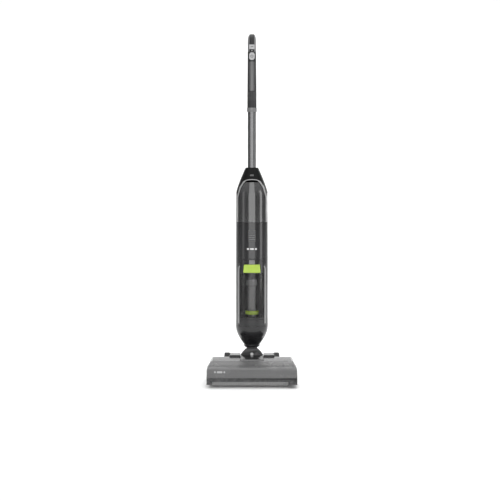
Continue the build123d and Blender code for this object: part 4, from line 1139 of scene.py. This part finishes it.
# %% Wheels
for side in ("right", "left"):
    low, high = span("tyre_" + side)
    outline = band_outline(low.x, high.x, 31, WHEEL_R - 0.5, 3, 3)
    tyre = spun(f"tyre_{side}_moulded", outline, "X", (WHEEL.y, WHEEL.z), 96)
    done(tyre, 0, "wheel_" + side, "tyre_rubber", "tyre_" + side)
    lug = slab(f"tyre_{side}_tread", (low.x + 2.5, -1.1, WHEEL_R - 1),
               (high.x - 2.5, 1.1, WHEEL_R), 0.4, "Z")
    run_tree(lug, AXLE, "tyre_rubber", Count=54, Centre=(0, WHEEL.y * MM, WHEEL.z * MM))
    dress(lug, "wheel_" + side, "tyre_rubber")
    hub = from_cad("wheel_hub_" + side, 0.5)
    dress(hub, "wheel_" + side, SLOTS["wheel_hub_" + side], "wheel_hub_" + side)
print("wheels done")

# %% [markdown]
# The short hose behind the neck is a bellows, which on the machine bends as the upright swivels. It
# is built as one spun tube with rounded ribs, and stays where it is, on no body.

# %% Neck hose
RIBS = 12
outline = [(hose_low.z, 6.4)]
for i in range(RIBS * 6 + 1):
    z = hose_low.z + (hose_high.z - hose_low.z) * i / (RIBS * 6)
    outline.append((z, 7.25 - 0.75 * math.cos(2 * math.pi * i / 6)))
outline.append((hose_high.z, 6.4))
hose = spun("neck_hose_bellows", outline, "Z", HOSE, 40)
hose.data.shade_smooth()
dress(hose, None, "rubber_black", "neck_hose")
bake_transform(hose)

# %% [markdown]
# The handle is a satin tube with a two-shell grip. The grip leans back a little towards its top and
# has a dark textured lower half. A ringed collar joins it to the tube.

# %% Tube, collar and grip
GRIP_LOW, GRIP_HIGH, TUBE_Y = 868.0, 1100.0, TUBE.y


def tube_bar(name, shrink, low, high):
    return loft(name, [box_ring(13 - shrink, TUBE_Y - 15 + shrink, TUBE_Y + 15 - shrink, 9 - shrink, z, 8)
                       for z in (low, high)])


tube = tube_bar("handle_tube_painted", 0, 662, 881.9)
cut(tube, tube_bar("bore", 1.8, 661, 883))
done(tube, 0.3, "upright", "tube_paint", "handle_tube")

outer = [(856, 1.2), (857, 0.3), (858, 0), (860.4, 0), (860.6, 0.7), (862, 0.7), (862.2, 0), (867.8, 0)]
collar = loft("grip_collar_ringed", [box_ring(16 - s, TUBE_Y - 20.5 + s, TUBE_Y + 20.5 - s, 13 - s, z)
                                     for z, s in outer])
cut(collar, tube_bar("bore", -0.05, 850, 880))
done(collar, 0.15, "upright", "grey_plastic", "grip_collar")


def grip_section(z):
    """Half width, centre and half depth of the grip at height z."""
    rise = (z - GRIP_LOW) / (GRIP_HIGH - GRIP_LOW)
    return 14.5 - 1.7 * rise, TUBE_Y + 16 * rise ** 2, 18.5 - 2.5 * rise


def grip_form(name, grow=0.0, low=GRIP_LOW, high=GRIP_HIGH):
    levels = [low + (high - low) * k / 48 for k in range(49)]
    rings = []
    for z in levels:
        half, centre, depth = grip_section(z)
        tip = 1 - 0.42 * max(0.0, (z - 1080) / 20) ** 2.4
        half, depth = half * tip + grow, depth * tip + grow
        rings.append(box_ring(half, centre - depth, centre + depth, 0.85 * half, z, 10))
    return loft(name, rings)


def grip_split(name, shift, front=True):
    """Everything before or behind the grip's moulding joint."""
    far = -60 if front else 120
    levels = [850 + 13 * k for k in range(21)]
    joint = [(grip_section(z)[1] + shift, z) for z in levels]
    return prism(name, [(far, 850)] + joint + [(far, 1110)], "X", -40, 40)


front = grip_form("grip_front_moulded")
keep(front, grip_split("front", -0.12))
button_low, button_high = span("power_button")
mode_low, mode_high = span("mode_button")
cut(front, tube_bar("tube", -0.02, 850, GRIP_LOW + 14),
    slab("power", (-9.9, -10, 1016.6), (9.9, 27, 1042.4), 4.6),
    slab("mode", (-8.9, -10, 1051.6), (8.9, 31, 1066.4), 2.2))
done(front, 0.25, "upright", "charcoal_satin", "grip_front")
rear_grip = grip_form("grip_rear_moulded")
keep(rear_grip, grip_split("rear", 0.12, False))
cut(rear_grip, tube_bar("tube", -0.02, 850, GRIP_LOW + 14))
done(rear_grip, 0.25, "upright", "grip_rubber", "grip_rear")
print("grip", len(front.data.polygons) + len(rear_grip.data.polygons), "faces")

# %% [markdown]
# Thumb controls. The power button is a pale pad in a dark ring, with the common ring-and-bar power
# sign, which belongs to no maker. The mode button has a single dark line, and a small lamp sits
# between them. The signs are thin raised shapes, as a pad-printed or two-shot moulding would have.

# %% Buttons
PRINT_RAISE, PRINT_ROOT = 0.12, 0.4        # how far a sign stands proud, and how far it is sunk in


def ring_outline(radius, width, gap_degrees, count=32):
    """An open ring seen from the front, with its gap at the top."""
    start, end = math.radians(90 + gap_degrees), math.radians(450 - gap_degrees)
    turns = [start + (end - start) * k / count for k in range(count + 1)]
    outer, inner = [[(r * math.cos(t), r * math.sin(t)) for t in turns]
                    for r in (radius + width / 2, radius - width / 2)]
    return outer + inner[::-1]


def print_sign(name, outline, face, body):
    """A thin sign on a button whose front is at the depth face."""
    sign = prism(name, outline, "Y", face - PRINT_RAISE, face + PRINT_ROOT)
    done(sign, 0, body, "mid_print", slot="charcoal_satin")


def bar(x0, x1, z0, z1, radius):
    """A bar seen from the front, with rounded corners."""
    return rounded([(x0, z0), (x1, z0), (x1, z1), (x0, z1)], radius)


margin = Vector((0.7, 0, 0.7))
power = slab("power_button_moulded", button_low + margin, button_high - margin, 8)
done(power, 0.7, "power_button", "button_grey", "power_button", segments=3)
z = (button_low.z + button_high.z) / 2
open_ring = [(a, b + z) for a, b in ring_outline(3.8, 1.5, 32)]
print_sign("power_button_ring", open_ring, button_low.y, "power_button")
print_sign("power_button_stroke", bar(-0.75, 0.75, z + 0.8, z + 5.4, 0.5), button_low.y, "power_button")

mode = slab("mode_button_moulded", mode_low, mode_high, 2)
done(mode, 0.6, "mode_button", "button_grey", "mode_button", segments=3)
z = (mode_low.z + mode_high.z) / 2
print_sign("mode_button_dash", bar(-4.4, 4.4, z - 0.9, z + 0.9, 0.6), mode_low.y, "mode_button")

LAMP_HEIGHT = 1047
face = grip_section(LAMP_HEIGHT)[1] - grip_section(LAMP_HEIGHT)[2]
dome = [(face - 0.3, 0), (face - 0.3, 0.9), (face, 1.3), (face + 1, 1.3), (face + 1, 0)]
lamp = spun("grip_lamp", dome, "Y", (0, LAMP_HEIGHT), 24)
done(lamp, 0, "upright", "pale_print", slot="light_trim")

# %% [markdown]
# A glossy strip runs down the front of the grip under the buttons, and the grip's lower part is
# ribbed for the fingers. The ribs follow a rule, one every few millimetres, so the row tree lays
# them.

# %% Grip strip and ribs
strip = grip_form("grip_front_strip", 0.15, 921, 1013)
keep(strip, slab("width", (-7.6, -40, 921), (7.6, 40, 1013), 3), grip_split("front", -6))
done(strip, 0.2, "upright", "strip_grey", slot="charcoal_gloss")

sides = grip_form("grip_top_sides", 0.2, 1044, 1096)
cut(sides, slab("middle", (-7.4, -40, 1040), (7.4, 90, 1100)), grip_split("back", 4, False))
done(sides, 0.2, "upright", "grey_plastic")

RIB_LOW, RIB_COUNT, RIB_STEP = GRIP_LOW + 3, 17, 2.8
half, centre, depth = grip_section(GRIP_LOW + 24)
rib = loft("grip_ribs", [box_ring(half - s, centre - depth + s, centre + depth - s, 0.85 * half - s,
                                  RIB_LOW + z, 10)
                         for z, s in ((0, 0.3), (0.35, -0.1), (1.15, -0.1), (1.5, 0.3))])
run_tree(rib, ROW, "grip_rubber", Count=RIB_COUNT, Step=(0, 0.01 * MM, RIB_STEP * MM))
dress(rib, "upright", "grip_rubber")

# %% [markdown]
# The status window shows three level bars, and under it sits a plain mark of a dot, a bar and a
# dot. It stands where a maker would print a name, and it means nothing. A second one goes on the
# brush cover.


# %% Status bars and plain marks
def on_form(name, outlines, finish, slot):
    """Thin raised shapes that follow the body's front."""
    skin = body_form(name, 0.2, 405, 500)
    cut(skin, room(404, 501, 0.4))
    keep(skin, join(*[from_front(part, -20) for part in outlines]))
    done(skin, 0, "upright", finish, slot=slot)


on_form("status_bars", [bar(-9, 9, z, z + 0.9, 0.4) for z in (455, 461, 467)], "mid_glow",
        "grey_plastic")
on_form("panel_mark", [bar(-15.5, -9.5, 422.5, 428.5, 2.9), bar(-6.5, 6.5, 423.2, 427.8, 2.2),
                       bar(9.5, 15.5, 422.5, 428.5, 2.9)], "pale_print", "light_trim")

mark = prism("cover_mark", cover_side(-0.2, 25, COVER_REAR), "X", -130, -60)
cut(mark, prism("inside", cover_side(0.3, 15, COVER_REAR + 10), "X", -140, -50))
shapes = [prism("shape", bar(x, x + length, 47, 52.5, 2.6), "Y", -130, -85)
          for x, length in ((-117, 5.5), (-108.5, 17.5), (-88, 5.5))]
keep(mark, join(*shapes))
done(mark, 0, "brush_cover", "light_trim")

# %% [markdown]
# Behind, the shell breathes out through a louvred grille. The frame is a thin plate cut from the
# body's form, and one slat is repeated up it by the row tree. Six cross-head screws close the shell.

# %% Rear grille and screws
grille_low, grille_high = span("exhaust_grille")
frame_piece = body_form("exhaust_grille_frame", 0, grille_low.z, grille_high.z)
cut(frame_piece, room(grille_low.z - 1, grille_high.z + 1))
keep(frame_piece, slab("window", (grille_low.x, 50, grille_low.z), (grille_high.x, 90, grille_high.z), 3.9))
cut(frame_piece, slab("left", (-22, 50, 427.2), (-1.4, 90, 482.8), 2.5),
    slab("right", (1.4, 50, 427.2), (22, 90, 482.8), 2.5))
done(frame_piece, 0.4, "upright", "charcoal_satin", "exhaust_grille")
back = form_section(455.0)[2]        # the rear face at the middle of the grille
louvre = [(back - 3.4, 428.2), (back - 0.5, 430.2), (back - 0.5, 431.4), (back - 3.4, 429.4)]
slat = prism("exhaust_grille_slats", rounded(louvre, 0.4, 3), "X", -22.4, 22.4)
run_tree(slat, ROW, "charcoal_satin", Count=15, Step=(0, -0.01 * MM, 3.72 * MM))
dress(slat, "upright", "charcoal_satin")

dome = [(68.8, 0.001), (71.2, 0.001), (71.2, 1.6), (70.6, 3.05), (68.8, 3.05)]
screw = spun("body_screws_heads", rounded(dome, 0, 2), "Y", (0, 0), 32)
for turn in (0, 90):
    slot_cut = slab("slot", (-1.9, 70.3, -0.4), (1.9, 72, 0.4), 0)
    slot_cut.data.transform(Matrix.Rotation(math.radians(turn), 4, "Y"))
    cut(screw, slot_cut)
soften(screw, 0.15)
heads = []
for x, z in SCREW_PLACES:
    head = bpy.data.objects.new("head", screw.data.copy())
    bpy.context.scene.collection.objects.link(head)
    head.data.transform(Matrix.Translation(Vector((x, 0, z)) * MM))
    heads.append(head)
bpy.data.objects.remove(screw)
with bpy.context.temp_override(active_object=heads[0], selected_editable_objects=heads,
                               selected_objects=heads):
    bpy.ops.object.join()
heads[0].name = "body_screws_crosshead"
dress(heads[0], "upright", "zinc_steel", "body_screws")

# %% [markdown]
# Last, the box of the pieces that are seen is printed. The pieces built here should fill the CAD
# model's box and never leave it, since other machines trust the CAD sizes.

# %% Sizes and finish
bpy.context.view_layer.update()
low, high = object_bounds()
print("visual box", [round(v, 4) for v in low], [round(v, 4) for v in high])
